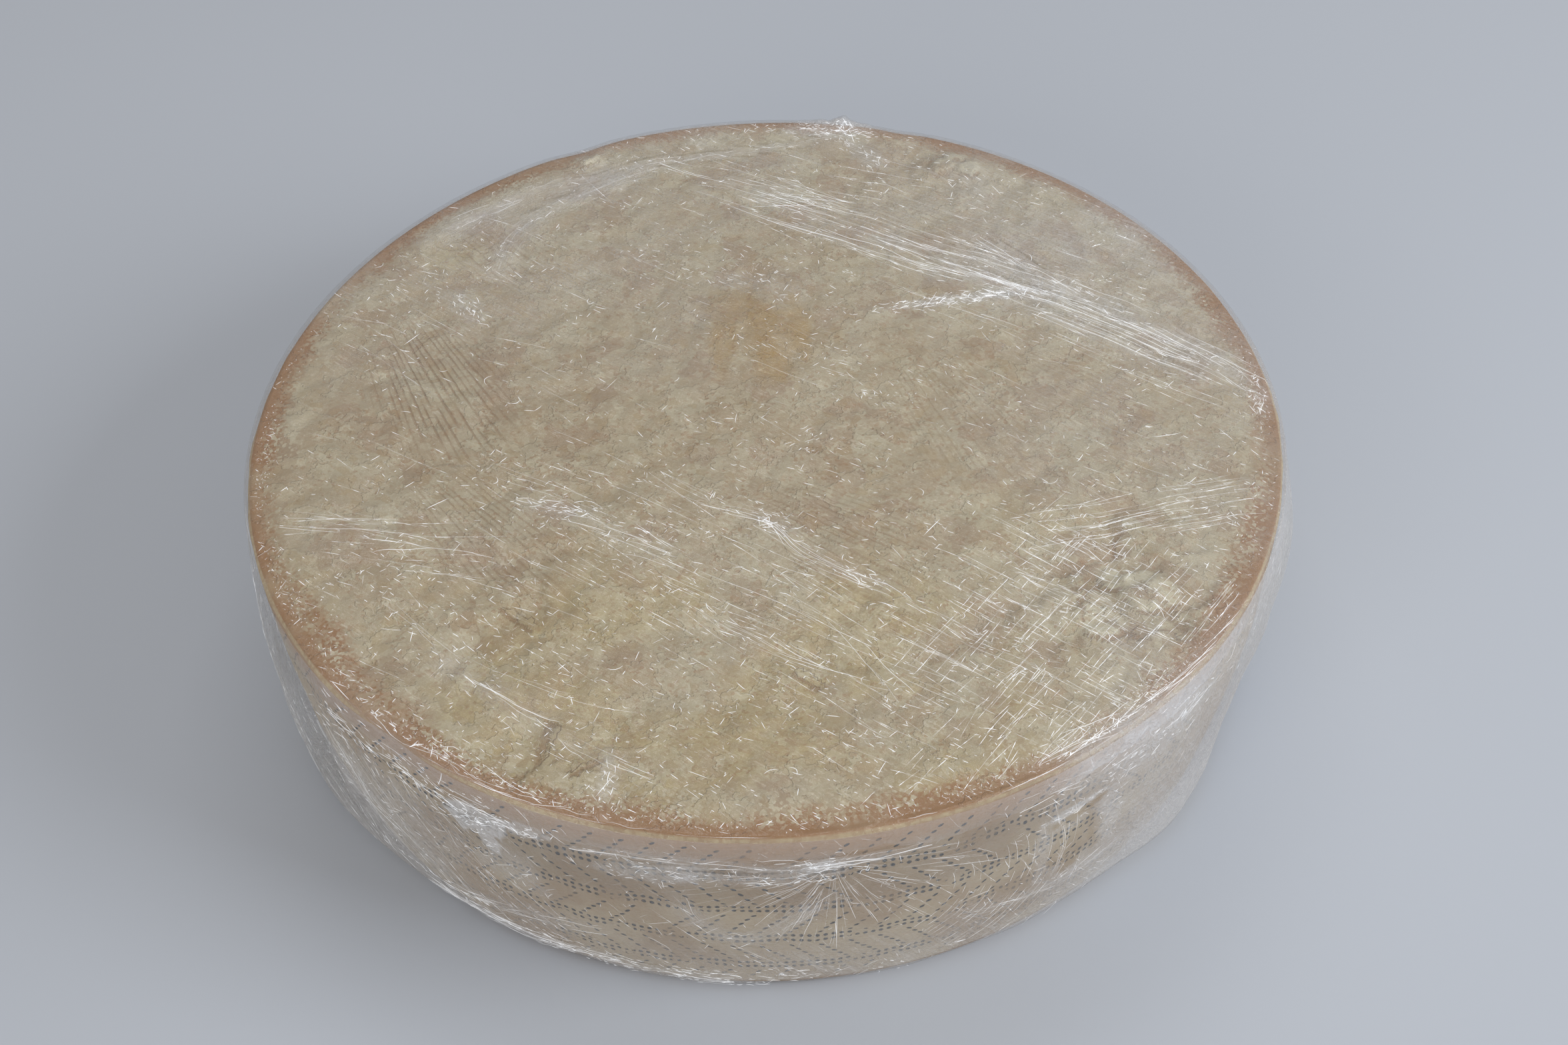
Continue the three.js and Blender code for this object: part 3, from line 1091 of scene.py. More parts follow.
        # A darker patch on the near side of the rind.
        aside = np.abs(np.mod(np.degrees(np.arctan2(y, x)), 360) - self.darkened_angle)
        darkened = smooth(aside, 44, 22) * smooth(np.abs(z - self.darkened_height), 24, 12)
        Workbench.paint(piece, "darkened", darkened)
        Workbench.paint(piece, "worn", smooth(worn, -0.5, 0.4))
        Workbench.paint(piece, "groove", self.groove_fans(x, y))
        # Where painted shade goes: cracks, flake ledges, and below loose chunks.
        Workbench.paint(piece, "crack_shade", self.crack_shade_lines(x, y))

    def dress(self, piece: bpy.types.Object) -> None:
        """Give the cheese its finish."""
        self.paint(piece)
        Workbench.hand_over(piece, CheeseFinish().material(self.form), "cheese")


# ------------------------------------------------------------------ film


class Chart(Enum):
    """Which surface a stretch of film is drawn on."""

    FACE = "face"  # x and y on the broken face
    SIDE = "side"  # distance round the side from its nearest point, to the right, and height

    def holds(self, u: np.ndarray, v: np.ndarray, margin: float = 0.0) -> np.ndarray:
        """Which places are far enough from the rim and the foot for a crease."""
        if self is Chart.FACE:
            return np.hypot(u, v) < 212 - margin
        return (v > 3 + margin) & (v < 110 - margin)


class Curve:
    """A smooth line through a few points of a chart."""

    def __init__(self, line: Sequence[tuple[float, float]], step: float = 1.5) -> None:
        """Samples a Catmull-Rom curve through the points."""
        points = np.array([line[0], *line, line[-1]], float)
        samples = []
        for a, b, c, d in zip(points, points[1:], points[2:], points[3:]):
            t = np.linspace(0, 1, max(2, int(np.hypot(*(c - b)) / step)), endpoint=False)[:, None]
            samples.append(0.5 * (2 * b + (c - a) * t + (2 * a - 5 * b + 4 * c - d) * t**2
                                  + (3 * b - a - 3 * c + d) * t**3))
        self.points = np.vstack([*samples, points[-1:]])
        self.reach = np.concatenate([[0], np.cumsum(np.hypot(*np.diff(self.points, axis=0).T))])
        self.length = float(self.reach[-1])
        tangent = np.gradient(self.points, axis=0)
        tangent /= np.maximum(1e-9, np.hypot(*tangent.T))[:, None]
        self.normals = np.column_stack([-tangent[:, 1], tangent[:, 0]])

    def at(self, along: np.ndarray, across: np.ndarray) -> tuple[np.ndarray, np.ndarray]:
        """The places at distances along the curve and to its left."""
        u, v = (np.interp(along, self.reach, self.points[:, k]) for k in (0, 1))
        a, b = (np.interp(along, self.reach, self.normals[:, k]) for k in (0, 1))
        return u + across * a, v + across * b

    def local(self, u: np.ndarray, v: np.ndarray) -> tuple[np.ndarray, np.ndarray]:
        """Distances along the curve and to its left of places on the chart."""
        low, high = self.points.min(axis=0) - 30, self.points.max(axis=0) + 30
        close = (u > low[0]) & (u < high[0]) & (v > low[1]) & (v < high[1])
        full_along, full_across = np.zeros(len(u)), np.full(len(u), 1e3)
        u, v = u[close], v[close]
        away, along, across = np.full(len(u), np.inf), np.zeros(len(u)), np.zeros(len(u))
        every = slice(None, None, 5)
        corners, marks = self.points[every], self.reach[every]
        for (ax, ay), (bx, by), mark in zip(corners, corners[1:], marks):
            dx, dy = bx - ax, by - ay
            size = math.hypot(dx, dy)
            share = np.clip(((u - ax) * dx + (v - ay) * dy) / size**2, 0, 1)
            gap = np.hypot(u - ax - share * dx, v - ay - share * dy)
            nearer = gap < away
            away = np.where(nearer, gap, away)
            along = np.where(nearer, mark + share * size, along)
            side = np.sign((v - ay) * dx - (u - ax) * dy)
            across = np.where(nearer, gap * side, across)
        full_along[close], full_across[close] = along, across
        return full_along, full_across


@dataclass(frozen=True)
class Streak:
    """Film pulled into a bundle of fine pleats along a line.

    Its width is how far the pleats spread, its haze how white the film between them looks, and
    its pleats how many lie side by side.
    """

    chart: Chart
    line: tuple[tuple[float, float], ...]
    width: float
    haze: float
    pleats: float
    pleat_length: float = 30.0
    shine: float = 0.75


@dataclass(frozen=True)
class Crumple:
    """A patch of crumpled film: where it is, its half length and half width, and its turn in degrees."""

    chart: Chart
    u: float
    v: float
    long: float
    wide: float
    turn: float
    haze: float
    glints: int
    shine: float = 0.85
    softness: float = 0.7

    def near(self, u: np.ndarray, v: np.ndarray) -> np.ndarray:
        """1 in the middle of the patch, and 0 well outside it."""
        along, across = turned(u - self.u, v - self.v, -math.radians(self.turn))
        away = np.sqrt((along / self.long) ** 2 + (across / self.wide) ** 2)
        ragged = 0.22 * smooth_noise(u, v, 9, 89) + 0.16 * smooth_noise(u, v, 3.5, 97)
        return smooth(1.25 + ragged * (1.7 - self.softness) - away, 0.0, self.softness)


@dataclass(frozen=True)
class BrokenLines:
    """A patch of fine parallel lines of film that gleam here and there along their length.

    It spreads a half length along the lines and a half width across them. Turn and spread are the
    lines' angle and how far it strays, in degrees.
    """

    chart: Chart
    u: float
    v: float
    long: float
    wide: float
    turn: float
    spread: float
    count: int
    length: float
    shine: float


FACE, SIDE = Chart.FACE, Chart.SIDE


@dataclass(frozen=True)
class Wrapping:
    """Every bundle of pleats, every crumple and every patch of lines in the film."""

    streaks: tuple[Streak, ...] = (
        Streak(FACE, ((-45, 184), (-5, 162), (30, 148), (56, 137)), 4, 0.08, 1.6, 34, 0.8),
        Streak(FACE, ((-14, 150), (5, 136), (50, 111), (95, 87)), 2.4, 0.10, 2, 46, 0.95),
        Streak(FACE, ((60, 104), (95, 87), (128, 70), (168, 41), (212, 4)), 5, 0.12, 3.5, 44, 0.9),
        Streak(FACE, ((-2, 154), (30, 135), (72, 112), (118, 88), (160, 60), (208, 16)),
               5, 0.11, 1.8, 40, 0.7),
        Streak(FACE, ((55, 119), (78, 104), (104, 88), (140, 68)), 2.5, 0.10, 1.4, 30, 0.8),
        Streak(FACE, ((100, 78), (126, 60), (152, 42), (190, 12)), 4, 0.14, 1.5, 34, 0.7),
        Streak(FACE, ((100, 116), (122, 92), (152, 62), (185, 38), (207, 10)), 3, 0.12, 1.4, 34, 0.75),
        Streak(FACE, ((-119, 103), (-112, 130), (-95, 150), (-74, 166), (-48, 181)), 4, 0.28, 0.7, 24, 0.4),
        Streak(FACE, ((-150, 128), (-105, 160), (-80, 170), (-58, 178)), 7, 0.24, 0.6, 20, 0.3),
        Streak(FACE, ((-150, 131), (-105, 163), (-78, 175), (-48, 184), (0, 191), (36, 199)),
               2.2, 0.17, 0.7, 20, 0.5),
        Streak(FACE, ((-102, -44), (-84, -50), (-60, -62), (-38, -76)), 4, 0.10, 2, 20, 0.9),
        Streak(FACE, ((-62, -64), (-30, -80), (18, -109), (52, -151)), 7, 0.04, 1.5, 34, 0.6),
        Streak(FACE, ((-26, -49), (0, -59), (12, -74), (26, -85), (46, -96), (60, -108), (92, -127)),
               4, 0.06, 1.6, 26, 0.75),
        Streak(FACE, ((-196, -54), (-150, -60), (-108, -72)), 8, 0.05, 1.6, 30, 0.6),
        Streak(FACE, ((-30, -98), (0, -124), (42, -152)), 6, 0.05, 1.6, 30, 0.6),
        Streak(FACE, ((-132, -118), (-101, -147), (-72, -169), (-44, -186)), 4, 0.16, 1.9, 30, 0.75),
        Streak(FACE, ((-150, -96), (-118, -128), (-80, -150), (-50, -158)), 6, 0.05, 1.4, 28, 0.5),
        Streak(FACE, ((96, -188), (116, -176), (138, -162), (163, -141), (188, -113)), 5, 0.17, 5, 18, 1.0),
        Streak(FACE, ((-168, -130), (-150, -152), (-124, -172), (-96, -190), (-62, -204)),
               4, 0.03, 2, 14, 0.9),
        Streak(FACE, ((-142, -160), (-112, -182), (-78, -199), (-40, -210), (0, -213.8), (40, -210)),
               0.6, 0.04, 0.7, 22, 0.6),
        Streak(FACE, ((40, -210), (78, -199), (112, -182), (142, -160), (166, -135)),
               0.8, 0.05, 0.8, 20, 0.6),
        Streak(SIDE, ((-76, 97), (-52, 100), (-24, 99), (20, 97), (56, 98)), 2.4, 0.3, 2.5, 26, 0.5),
        Streak(SIDE, ((-35, 76), (-32, 62), (-22, 50), (-10, 48), (6, 62), (18, 78)), 4, 0.34, 0.8, 18, 0.4),
        Streak(SIDE, ((-192, 97), (-158, 101), (-128, 99), (-100, 98)), 5, 0.0, 1.8, 18, 0.9),
        Streak(SIDE, ((-70, 42), (-95, 34), (-124, 24), (-152, 16)), 5, 0.16, 3, 20, 0.5),
        Streak(SIDE, ((-164, 5), (-110, 7), (-60, 9), (-20, 7)), 4, 0.24, 4, 16, 0.7),
        Streak(SIDE, ((-150, 92), (-128, 66), (-100, 40), (-78, 20)), 14, 0.06, 1.4, 24, 0.4),
        Streak(SIDE, ((-196, 88), (-174, 58), (-150, 30)), 14, 0.10, 1.4, 24, 0.4),
        Streak(SIDE, ((106, 92), (112, 62), (110, 34)), 4, 0.2, 1.5, 26, 0.3),
        Streak(SIDE, ((122, 78), (124, 50), (122, 26)), 1.6, 0.14, 1, 28, 0.3),
        Streak(SIDE, ((66, 42), (92, 33), (118, 31), (146, 37)), 4, 0.2, 1.5, 24, 0.3),
        Streak(SIDE, ((90, 101), (126, 99), (168, 99), (206, 96)), 5, 0.1, 2, 18, 0.6),
    )
    crumples: tuple[Crumple, ...] = (
        Crumple(FACE, 86, 73, 32, 4, 8, 0.34, 90, 1.0),
        Crumple(FACE, -84, -48, 15, 5, -14, 0.14, 36, 1.0),
        Crumple(FACE, 4, -62, 12, 4, -30, 0.12, 22, 1.0),
        Crumple(FACE, 36, -91, 12, 4, -34, 0.10, 20, 1.0),
        Crumple(FACE, 209, 2, 12, 4.5, 84, 0.12, 30, 0.75),
        Crumple(FACE, 38, 204, 22, 6, -8, 0.34, 70, 1.0),
        Crumple(FACE, 42, 209, 18, 2.5, -11, 0.3, 60, 1.0),
        Crumple(FACE, 52, 186, 16, 6, -58, 0.24, 24, 0.9),
        Crumple(FACE, -132, 82, 14, 7, -50, 0.2, 26, 0.9),
        Crumple(FACE, -8, 88, 24, 7, -12, 0.13, 10, 0.6),
        Crumple(FACE, 20, -12, 10, 6, 40, 0.05, 10),
        Crumple(FACE, 44, 12, 9, 5, -50, 0.05, 10),
        Crumple(FACE, 127, -171, 32, 3.8, 37, 0.34, 80, 0.95),
        Crumple(FACE, -134, -163, 40, 5, -38, 0.04, 50, 0.9),
        Crumple(FACE, -60, -184, 14, 4, 84, 0.22, 12, 0.9),
        Crumple(SIDE, -150, 98, 34, 8, 4, -0.05, 34, 1.0),
        Crumple(SIDE, -115, 92, 13, 7, 20, 0.8, 30, 1.0, 0.15),
        Crumple(SIDE, -112, 82, 4, 8, 10, 0.7, 8, 1.0, 0.15),
        Crumple(SIDE, -98, 97, 12, 3, 6, 0.5, 20, 1.0, 0.15),
        Crumple(SIDE, -190, 70, 12, 30, 16, 0.2, 14, 0.6),
        Crumple(SIDE, -42, 91, 24, 7, 5, 0.42, 30, 0.5),
        Crumple(SIDE, -8, 91, 30, 6, 5, 0.24, 30, 0.4),
        Crumple(SIDE, 18, 95, 10, 6, 0, 0.4, 26, 0.6),
        Crumple(SIDE, 150, 96, 40, 12, 0, 0.14, 40, 0.6),
        Crumple(SIDE, 120, 58, 11, 15, 6, -0.3, 0, 0, 0.35),
        Crumple(SIDE, 117, 80, 11, 1.8, 10, -0.6, 0, 0, 0.25),
        Crumple(SIDE, 116, 85, 14, 2, 8, 0.5, 12, 0.5, 0.4),
        Crumple(SIDE, 103, 60, 3.5, 22, 4, 0.22, 6, 0.4, 0.5),
        Crumple(SIDE, -16, 74, 16, 9, 0, -0.16, 0, 0),
        Crumple(SIDE, 134, 66, 7, 18, 8, 0.25, 8, 0.4),
        Crumple(SIDE, -60, 10, 90, 7, 0, 0.15, 70, 0.7),
        Crumple(SIDE, -160, 60, 36, 34, 30, 0.22, 40, 0.5),
        Crumple(SIDE, -104, 66, 14, 18, 60, 0.25, 16, 0.5),
    )
    lines: tuple[BrokenLines, ...] = (
        BrokenLines(FACE, 0, 0, 205, 205, -36, 9, 150, 20, 0.6),
        BrokenLines(FACE, -40, -72, 80, 34, -35, 4, 64, 26, 0.8),
        BrokenLines(FACE, 22, -120, 60, 34, -37, 4, 50, 24, 0.85),
        BrokenLines(FACE, 160, -62, 42, 13, 11, 3, 60, 24, 1.0),
        BrokenLines(FACE, 115, -118, 56, 44, -38, 2, 110, 18, 1.0),
        BrokenLines(FACE, 118, -122, 50, 46, 50, 2, 130, 14, 1.0),
        BrokenLines(FACE, 74, -184, 44, 22, 50, 7, 56, 15, 0.75),
        BrokenLines(FACE, 75, 108, 100, 16, -33, 3, 60, 34, 0.95),
        BrokenLines(FACE, 120, 60, 90, 18, -35, 3, 40, 30, 0.9),
        BrokenLines(FACE, -150, -64, 46, 14, -10, 6, 30, 26, 0.7),
        BrokenLines(FACE, -112, -182, 64, 8, -33, 8, 90, 8, 1.0),
        BrokenLines(FACE, 20, 165, 60, 20, -24, 8, 30, 18, 0.8),
        BrokenLines(SIDE, 0, 58, 675, 48, -57, 9, 300, 20, 0.4),
        BrokenLines(SIDE, -150, 98, 46, 11, -14, 10, 70, 8, 1.0),
        BrokenLines(SIDE, -165, 50, 50, 44, -60, 9, 36, 22, 0.4),
        BrokenLines(SIDE, 150, 60, 70, 44, -64, 8, 20, 22, 0.45),
        BrokenLines(SIDE, -80, 12, 90, 8, -10, 8, 60, 10, 0.7),
        BrokenLines(SIDE, 240, 96, 60, 12, 30, 12, 60, 10, 0.9),
    )


class FilmForm:
    """Where the film lies over the cheese, and how hazy it is there."""

    LIFT = 0.35
    SIDE_LIFT = 0.45
    KNOT = (20.0, 96.0)
    RAYS = 11

    def __init__(self, form: WheelForm, cheese: Cheese, wrapping: Wrapping) -> None:
        """Stretches the film over the cheese's lumps."""
        self.form, self.wrapping = form, wrapping
        self.curves = [(streak, Curve(streak.line)) for streak in wrapping.streaks]

        def lumps(x: np.ndarray, y: np.ndarray) -> np.ndarray:
            """The cheese's own height, carried level past its rim."""
            share = np.minimum(1, (form.radius - 0.5) / np.maximum(1, np.hypot(x, y)))
            return form.face_height(x * share, y * share) + cheese.detail(x * share, y * share)

        self.taut = HeightMap(form.radius + 8, lumps).spread(3).blur(1.8)

    def face(self, x: np.ndarray, y: np.ndarray, lift: Any = 0.0) -> np.ndarray:
        """Points on the film over the face, lifted off it by a distance."""
        return np.column_stack([x, y, self.taut.at(x, y) + self.form.tuft_height(x, y) + self.LIFT + lift])

    def side(self, arc: np.ndarray, height: np.ndarray, lift: Any = 0.0) -> np.ndarray:
        """Points on the film round the side: arc is the distance to the right of the nearest point."""
        degrees = 270 + np.degrees(arc / self.form.radius)
        radius = self.form.side_radius(height) - self.form.chip_depth(degrees, height)
        radius = radius + self.form.stand_off(degrees, height) + self.SIDE_LIFT
        radius = radius + self.ruffle(arc, height) + lift
        turn = np.radians(degrees)
        return np.column_stack([radius * np.cos(turn), radius * np.sin(turn), height])

    def ruffle(self, arc: np.ndarray, height: np.ndarray) -> np.ndarray:
        """Pleats of the film round the side: a star of them at the front, and slack between."""
        drop = smooth(self.form.height - height, 1.0, 14.0)
        star_x, star_z = arc - self.KNOT[0], height - self.KNOT[1]
        reach = np.hypot(star_x, star_z)
        bent = 2.2 * smooth_noise(arc, height, 12, 31)
        rays = np.abs(np.sin(self.RAYS * np.arctan2(star_z, star_x) + bent))
        star = (1 - rays) ** 2 * bell(reach, 52) * smooth(reach, 3, 14) * 1.5
        closing = self.form.closing(arc)
        slack = 0.12 * (1 + closing * smooth_noise(arc + 0.8 * height, height * 0.5, 9, 37))
        slack = slack + 0.7 * (1 + closing * smooth_noise(arc + 0.5 * height, height * 0.6, 26, 43))
        return drop * (star + slack)

    def place(self, chart: Chart, u: np.ndarray, v: np.ndarray, lift: Any = 0.0) -> np.ndarray:
        """Points on either chart of the film."""
        if chart is Chart.FACE:
            share = np.minimum(1, (self.form.radius - 1.2) / np.maximum(1, np.hypot(u, v)))
            return self.face(u * share, v * share, lift)
        return self.side(u, np.clip(v, 1.0, self.form.height - 0.8), lift)

    def dress(self, piece: bpy.types.Object, chart: Chart, u: np.ndarray, v: np.ndarray,
              along: np.ndarray, across: np.ndarray) -> None:
        """Paint how hazy a sheet is, with a painted sheen over the far side of the face, and which way it is
        pulled.

        Args:
            piece: the sheet.
            chart: the chart it is drawn on.
            u: first coordinates of its points there.
            v: second coordinates.
            along: distance along the general pull of the film.
            across: distance across it.
        """
        total, strongest, second = np.zeros(len(u)), np.full(len(u), 0.25), np.zeros(len(u))
        calm = np.zeros(len(u))
        if chart is Chart.SIDE:
            calm = smooth(u, 80, 130) * smooth(u, 360, 300)
            along, across = along * 0.7, across * 0.4
        for streak, curve in self.curves:
            if streak.chart is chart:
                here, beside = curve.local(u, v)
                ends = smooth(here, 0, 14) * smooth(curve.length - here, 0, 14)
                near = bell(beside, streak.width * 1.5) * (0.25 + 0.75 * ends)
                total += streak.haze * near
                led = near > strongest
                second = np.where(led, strongest, np.maximum(second, near))
                strongest = np.where(led, near, strongest)
                along, across = np.where(led, here, along), np.where(led, beside, across)
        for crumple in self.wrapping.crumples:
            if crumple.chart is chart:
                total += crumple.haze * crumple.near(u, v)
        blotch = smooth_noise(u, v, 34, 47) * 0.5 + smooth_noise(u, v, 13, 53) * 0.3
        if chart is Chart.FACE:
            # Haze that rises towards the far side and the right: the film's own haze, with a painted sheen
            # for the light the far half reflects.
            haze_and_sheen = 0.04 + 0.2 * smooth(v, -20, 140) + 0.14 * smooth(u, 50, 150)
            haze = np.clip(total + haze_and_sheen * (1 + blotch), 0.02, 0.9)
            haze = haze * (1 - smooth(np.hypot(u, v), 212.6, 214.4) * smooth(v, 0, 90))
        else:
            spread = smooth(u, 90, 165) * 0.50 * smooth(u, 350, 250)
            closing = self.form.closing(u)
            left = smooth(u, -95, -190) * smooth(u, -640, -400)
            spread = spread + left * (0.05 + 0.17 * smooth(v, 94, 66))
            low = (0.16 + 0.2 * smooth(u, -60, 60) * smooth(u, 640, 400)) * smooth(v, 58, 12)
            blotch = blotch * (0.7 - 0.45 * calm) * closing
            calm = np.maximum(calm, 1.25 * (1 - closing))
            haze = np.clip(total + (0.06 + spread + low) * (1 + blotch), 0.03, 0.9)
            haze = haze * (1 - smooth(np.abs(u), 300, 400) * smooth(v, 92, 106))
            # Clears the haze along the foot, from the near side round to the right, so the painted contact
            # shadow there shows.
            haze = haze * (1 - 0.9 * smooth(v, 7.5, 4) * smooth(u, -70, -20) * smooth(u, 330, 200))
        clean = smooth(strongest - second, 0, 0.14) * (1 - 0.8 * calm)
        Workbench.paint(piece, "haze", haze)
        Workbench.paint(piece, "pull", np.column_stack([along, across, clean]))


@dataclass
class FilmOverFace:
    """The sheet of film over the broken face, drawn over the rim to a ragged hem."""

    film: FilmForm
    cells: int = 270
    rows: int = 9
    hem: float = 11.0
    pull: float = -37.0

    def build(self) -> bpy.types.Object:
        """Model the sheet."""
        form = self.film.form
        piece = Workbench.disc("film_over_face", self.cells, self.rows)
        flat = Workbench.points(piece) * MM
        x, y, row = flat[:, 0], flat[:, 1], np.rint(-flat[:, 2])
        share, turn = np.hypot(x, y), np.arctan2(y, x)
        degrees = np.degrees(turn)
        arc = np.mod(degrees - 90, 360) / 360 * form.around
        edge = form.radius - 0.8 - form.chip_depth(degrees, form.height)
        x, y = edge * share * np.cos(turn), edge * share * np.sin(turn)
        points = self.film.face(x, y)
        waves = 2.6 * smooth_noise(arc, arc * 0, 17, 59) + 1.3 * smooth_noise(arc, arc * 0, 6, 61)
        ragged = self.hem + waves * form.closing(arc - form.around / 2)
        drop = ragged * (row / self.rows) ** 1.6
        height = form.height + 0.5 - drop
        hung = form.side_radius(np.minimum(height, form.height)) - form.chip_depth(degrees, height)
        hung = hung + 0.85 + 0.5 * smooth(drop, 3, 9) * (1 + smooth_noise(arc, height, 5, 67))
        below = row > 0
        points[below] = np.column_stack([hung * np.cos(turn), hung * np.sin(turn), height])[below]
        Workbench.place(piece, points)
        u, v = points[:, 0], points[:, 1]
        self.film.dress(piece, Chart.FACE, u, v, *turned(u, v, -math.radians(self.pull)))
        Workbench.face_out(piece)
        return piece


@dataclass
class FilmRoundSide:
    """The film wound round the side, with its loose folds, tucked in under the foot."""

    film: FilmForm
    around: int = 1280
    rows: int = 60
    tucked: int = 4
    tuck: float = 26.0
    pull: float = -58.0

    def build(self) -> bpy.types.Object:
        """Model the band of film."""
        form = self.film.form
        Workbench.clear()
        bpy.ops.mesh.primitive_circle_add(vertices=self.around, radius=1, fill_type="NOTHING")
        piece = Workbench.named("film_round_side")
        with Workbench.editing(piece, "EDGE"):
            for _ in range(self.rows + self.tucked):
                bpy.ops.mesh.extrude_region_move(TRANSFORM_OT_translate={"value": (0, 0, -1)})
        flat = Workbench.points(piece) * MM
        turn = np.arctan2(flat[:, 1], flat[:, 0])
        degrees = np.degrees(turn)
        arc = (np.mod(degrees - 90, 360) - 180) / 360 * form.around
        row = np.rint(-flat[:, 2])
        height = form.height - 0.6 - (form.height - 4.6) * np.minimum(1, row / self.rows)
        points = self.film.side(arc, height)
        under = np.clip((row - self.rows) / self.tucked, 0, 1)
        radius = np.hypot(points[:, 0], points[:, 1]) - self.tuck * under**1.5 - 3.0 * np.sqrt(under)
        points = np.column_stack([
            radius * np.cos(turn), radius * np.sin(turn),
            np.where(under > 0, 0.25 + (height - 0.25) * (1 - np.minimum(1, under * 1.4)) ** 2, height),
        ])
        Workbench.place(piece, points)
        self.film.dress(piece, Chart.SIDE, arc, height, *turned(arc, height, -math.radians(self.pull)))
        Workbench.face_out(piece)
        return piece


class CreaseKind(Enum):
    """How many rings of points a crease has from end to end."""

    SHORT = 3
    HOOKED = 6
    LONG = 12


@dataclass
class FilmCreaseGlints:
    """Thousands of sharp little creases, each a thin spindle of doubled film lying on the sheet, drawn white
    with a painted glow as glints.
    """

    film: FilmForm
    pull: float = -36.0
    cross_pull: float = 50.0
    face_glints: int = 4200
    rim_glints: int = 3600
    curls: int = 70
    side_glints: int = 2200
    rays: int = 105
    rings: int = 15
    draws: np.random.Generator = field(default_factory=lambda: np.random.default_rng(SEED))
    made: dict[Chart, list[tuple[np.ndarray, ...]]] = field(
        default_factory=lambda: {chart: [] for chart in Chart})

    def spindle(self, kind: CreaseKind) -> tuple[np.ndarray, np.ndarray]:
        """Model one spindle of length and width 1: its points and its faces."""
        Workbench.clear()
        bpy.ops.mesh.primitive_uv_sphere_add(segments=3, ring_count=kind.value, radius=0.5)
        piece = Workbench.named("spindle")
        with Workbench.editing(piece):
            bpy.ops.mesh.quads_convert_to_tris()
        points = Workbench.points(piece) * MM
        faces = np.array([list(face.vertices) for face in piece.data.polygons])
        bpy.data.objects.remove(piece)
        return points[:, [2, 0, 1]], faces

    def lay(self, kind: CreaseKind, chart: Chart, path: Callable[..., tuple[np.ndarray, np.ndarray]],
            width: np.ndarray, shine: np.ndarray) -> None:
        """Lay a copy of a spindle along each of many paths.

        Args:
            kind: which spindle.
            chart: where they lie.
            path: gives the places on the chart for shares along, from -0.5 to 0.5, and
                distances across, each a row for a crease.
            width: each crease's width.
            shine: how bright each painted glint is.
        """
        points, faces = self.spindle(kind)
        count, size = len(width), len(points)
        if count == 0:
            return
        wide = width[:, None]
        along = np.tile(points[None, :, 0], (count, 1))
        u, v = path(along, points[None, :, 1] * wide)
        lift = (points[None, :, 2] * wide * 0.6 + 0.22).ravel()
        placed = self.film.place(chart, np.broadcast_to(u, along.shape).ravel(),
                                 np.broadcast_to(v, along.shape).ravel(), lift)
        start = sum(len(made[0]) for made in self.made[chart])
        every = (faces[None] + np.arange(count)[:, None, None] * size).reshape(-1, 3) + start
        self.made[chart].append((placed, every, np.repeat(shine, size)))

    def straight(self, chart: Chart, u: np.ndarray, v: np.ndarray, turn: np.ndarray, length: np.ndarray,
                 width: np.ndarray, shine: np.ndarray, curl: Any = 0.0,
                 kind: CreaseKind = CreaseKind.SHORT) -> None:
        """Lay creases by their middles.

        Args:
            chart: where they lie.
            u: first coordinates of their middles there.
            v: second coordinates.
            turn: their angles, in radians.
            length: their lengths.
            width: their widths.
            shine: how bright each painted glint is.
            curl: how far their middles bow out.
            kind: which spindle.
        """
        u, v, turn, length = (q[:, None] for q in (u, v, turn, length))
        bow = np.broadcast_to(curl, width.shape)[:, None]

        def path(along: np.ndarray, across: np.ndarray) -> tuple[np.ndarray, np.ndarray]:
            """Places along each crease."""
            right, up = turned(along * length, across + bow * (0.25 - along**2) * 4, turn)
            return u + right, v + up

        self.lay(kind, chart, path, width, shine)

    def round_face(self, radius: np.ndarray) -> tuple[np.ndarray, np.ndarray]:
        """Places on the face at distances from its middle, each in a direction drawn at random."""
        return turned(radius, 0.0, self.draws.random(len(radius)) * 2 * math.pi)

    def scatter_face(self, count: int) -> None:
        """Short glints all over the face, most of them along the pull of the film."""
        draws = self.draws
        radius = 212 * np.sqrt(draws.random(count * 4))
        u, v = self.round_face(radius)
        density = 0.2 + 0.45 * smooth_noise(u, v, 26, 83) + 0.35 * smooth_noise(u, v, 9, 87)
        density = density + 0.35 * smooth(-v, 0, 130) + 0.2 * smooth(radius, 185, 205) * smooth(-v, -60, 60)
        keep = draws.random(len(u)) < density
        u, v = u[keep][:count], v[keep][:count]
        size = len(u)
        lean = np.radians(np.where(draws.random(size) < 0.78, self.pull, self.cross_pull))
        lean = lean + draws.normal(0, 0.2, size)
        lean = np.where(draws.random(size) < 0.16, draws.random(size) * math.pi, lean)
        length = np.exp(draws.normal(0.75, 0.55, size))
        bright = draws.random(size) ** 1.6
        width = np.minimum(0.18 + 0.18 * bright, length * 0.35)
        self.straight(Chart.FACE, u, v, lean, length, width, 0.2 + 0.8 * bright,
                      draws.normal(0, 0.03, size) * length)

    @staticmethod
    def hidden_by_haze(arc: np.ndarray) -> np.ndarray:
        """How well creases show round the side: hardly at all in the white film at the right."""
        return 1 - 0.8 * smooth(arc, 110, 190) * smooth(arc, 400, 330)

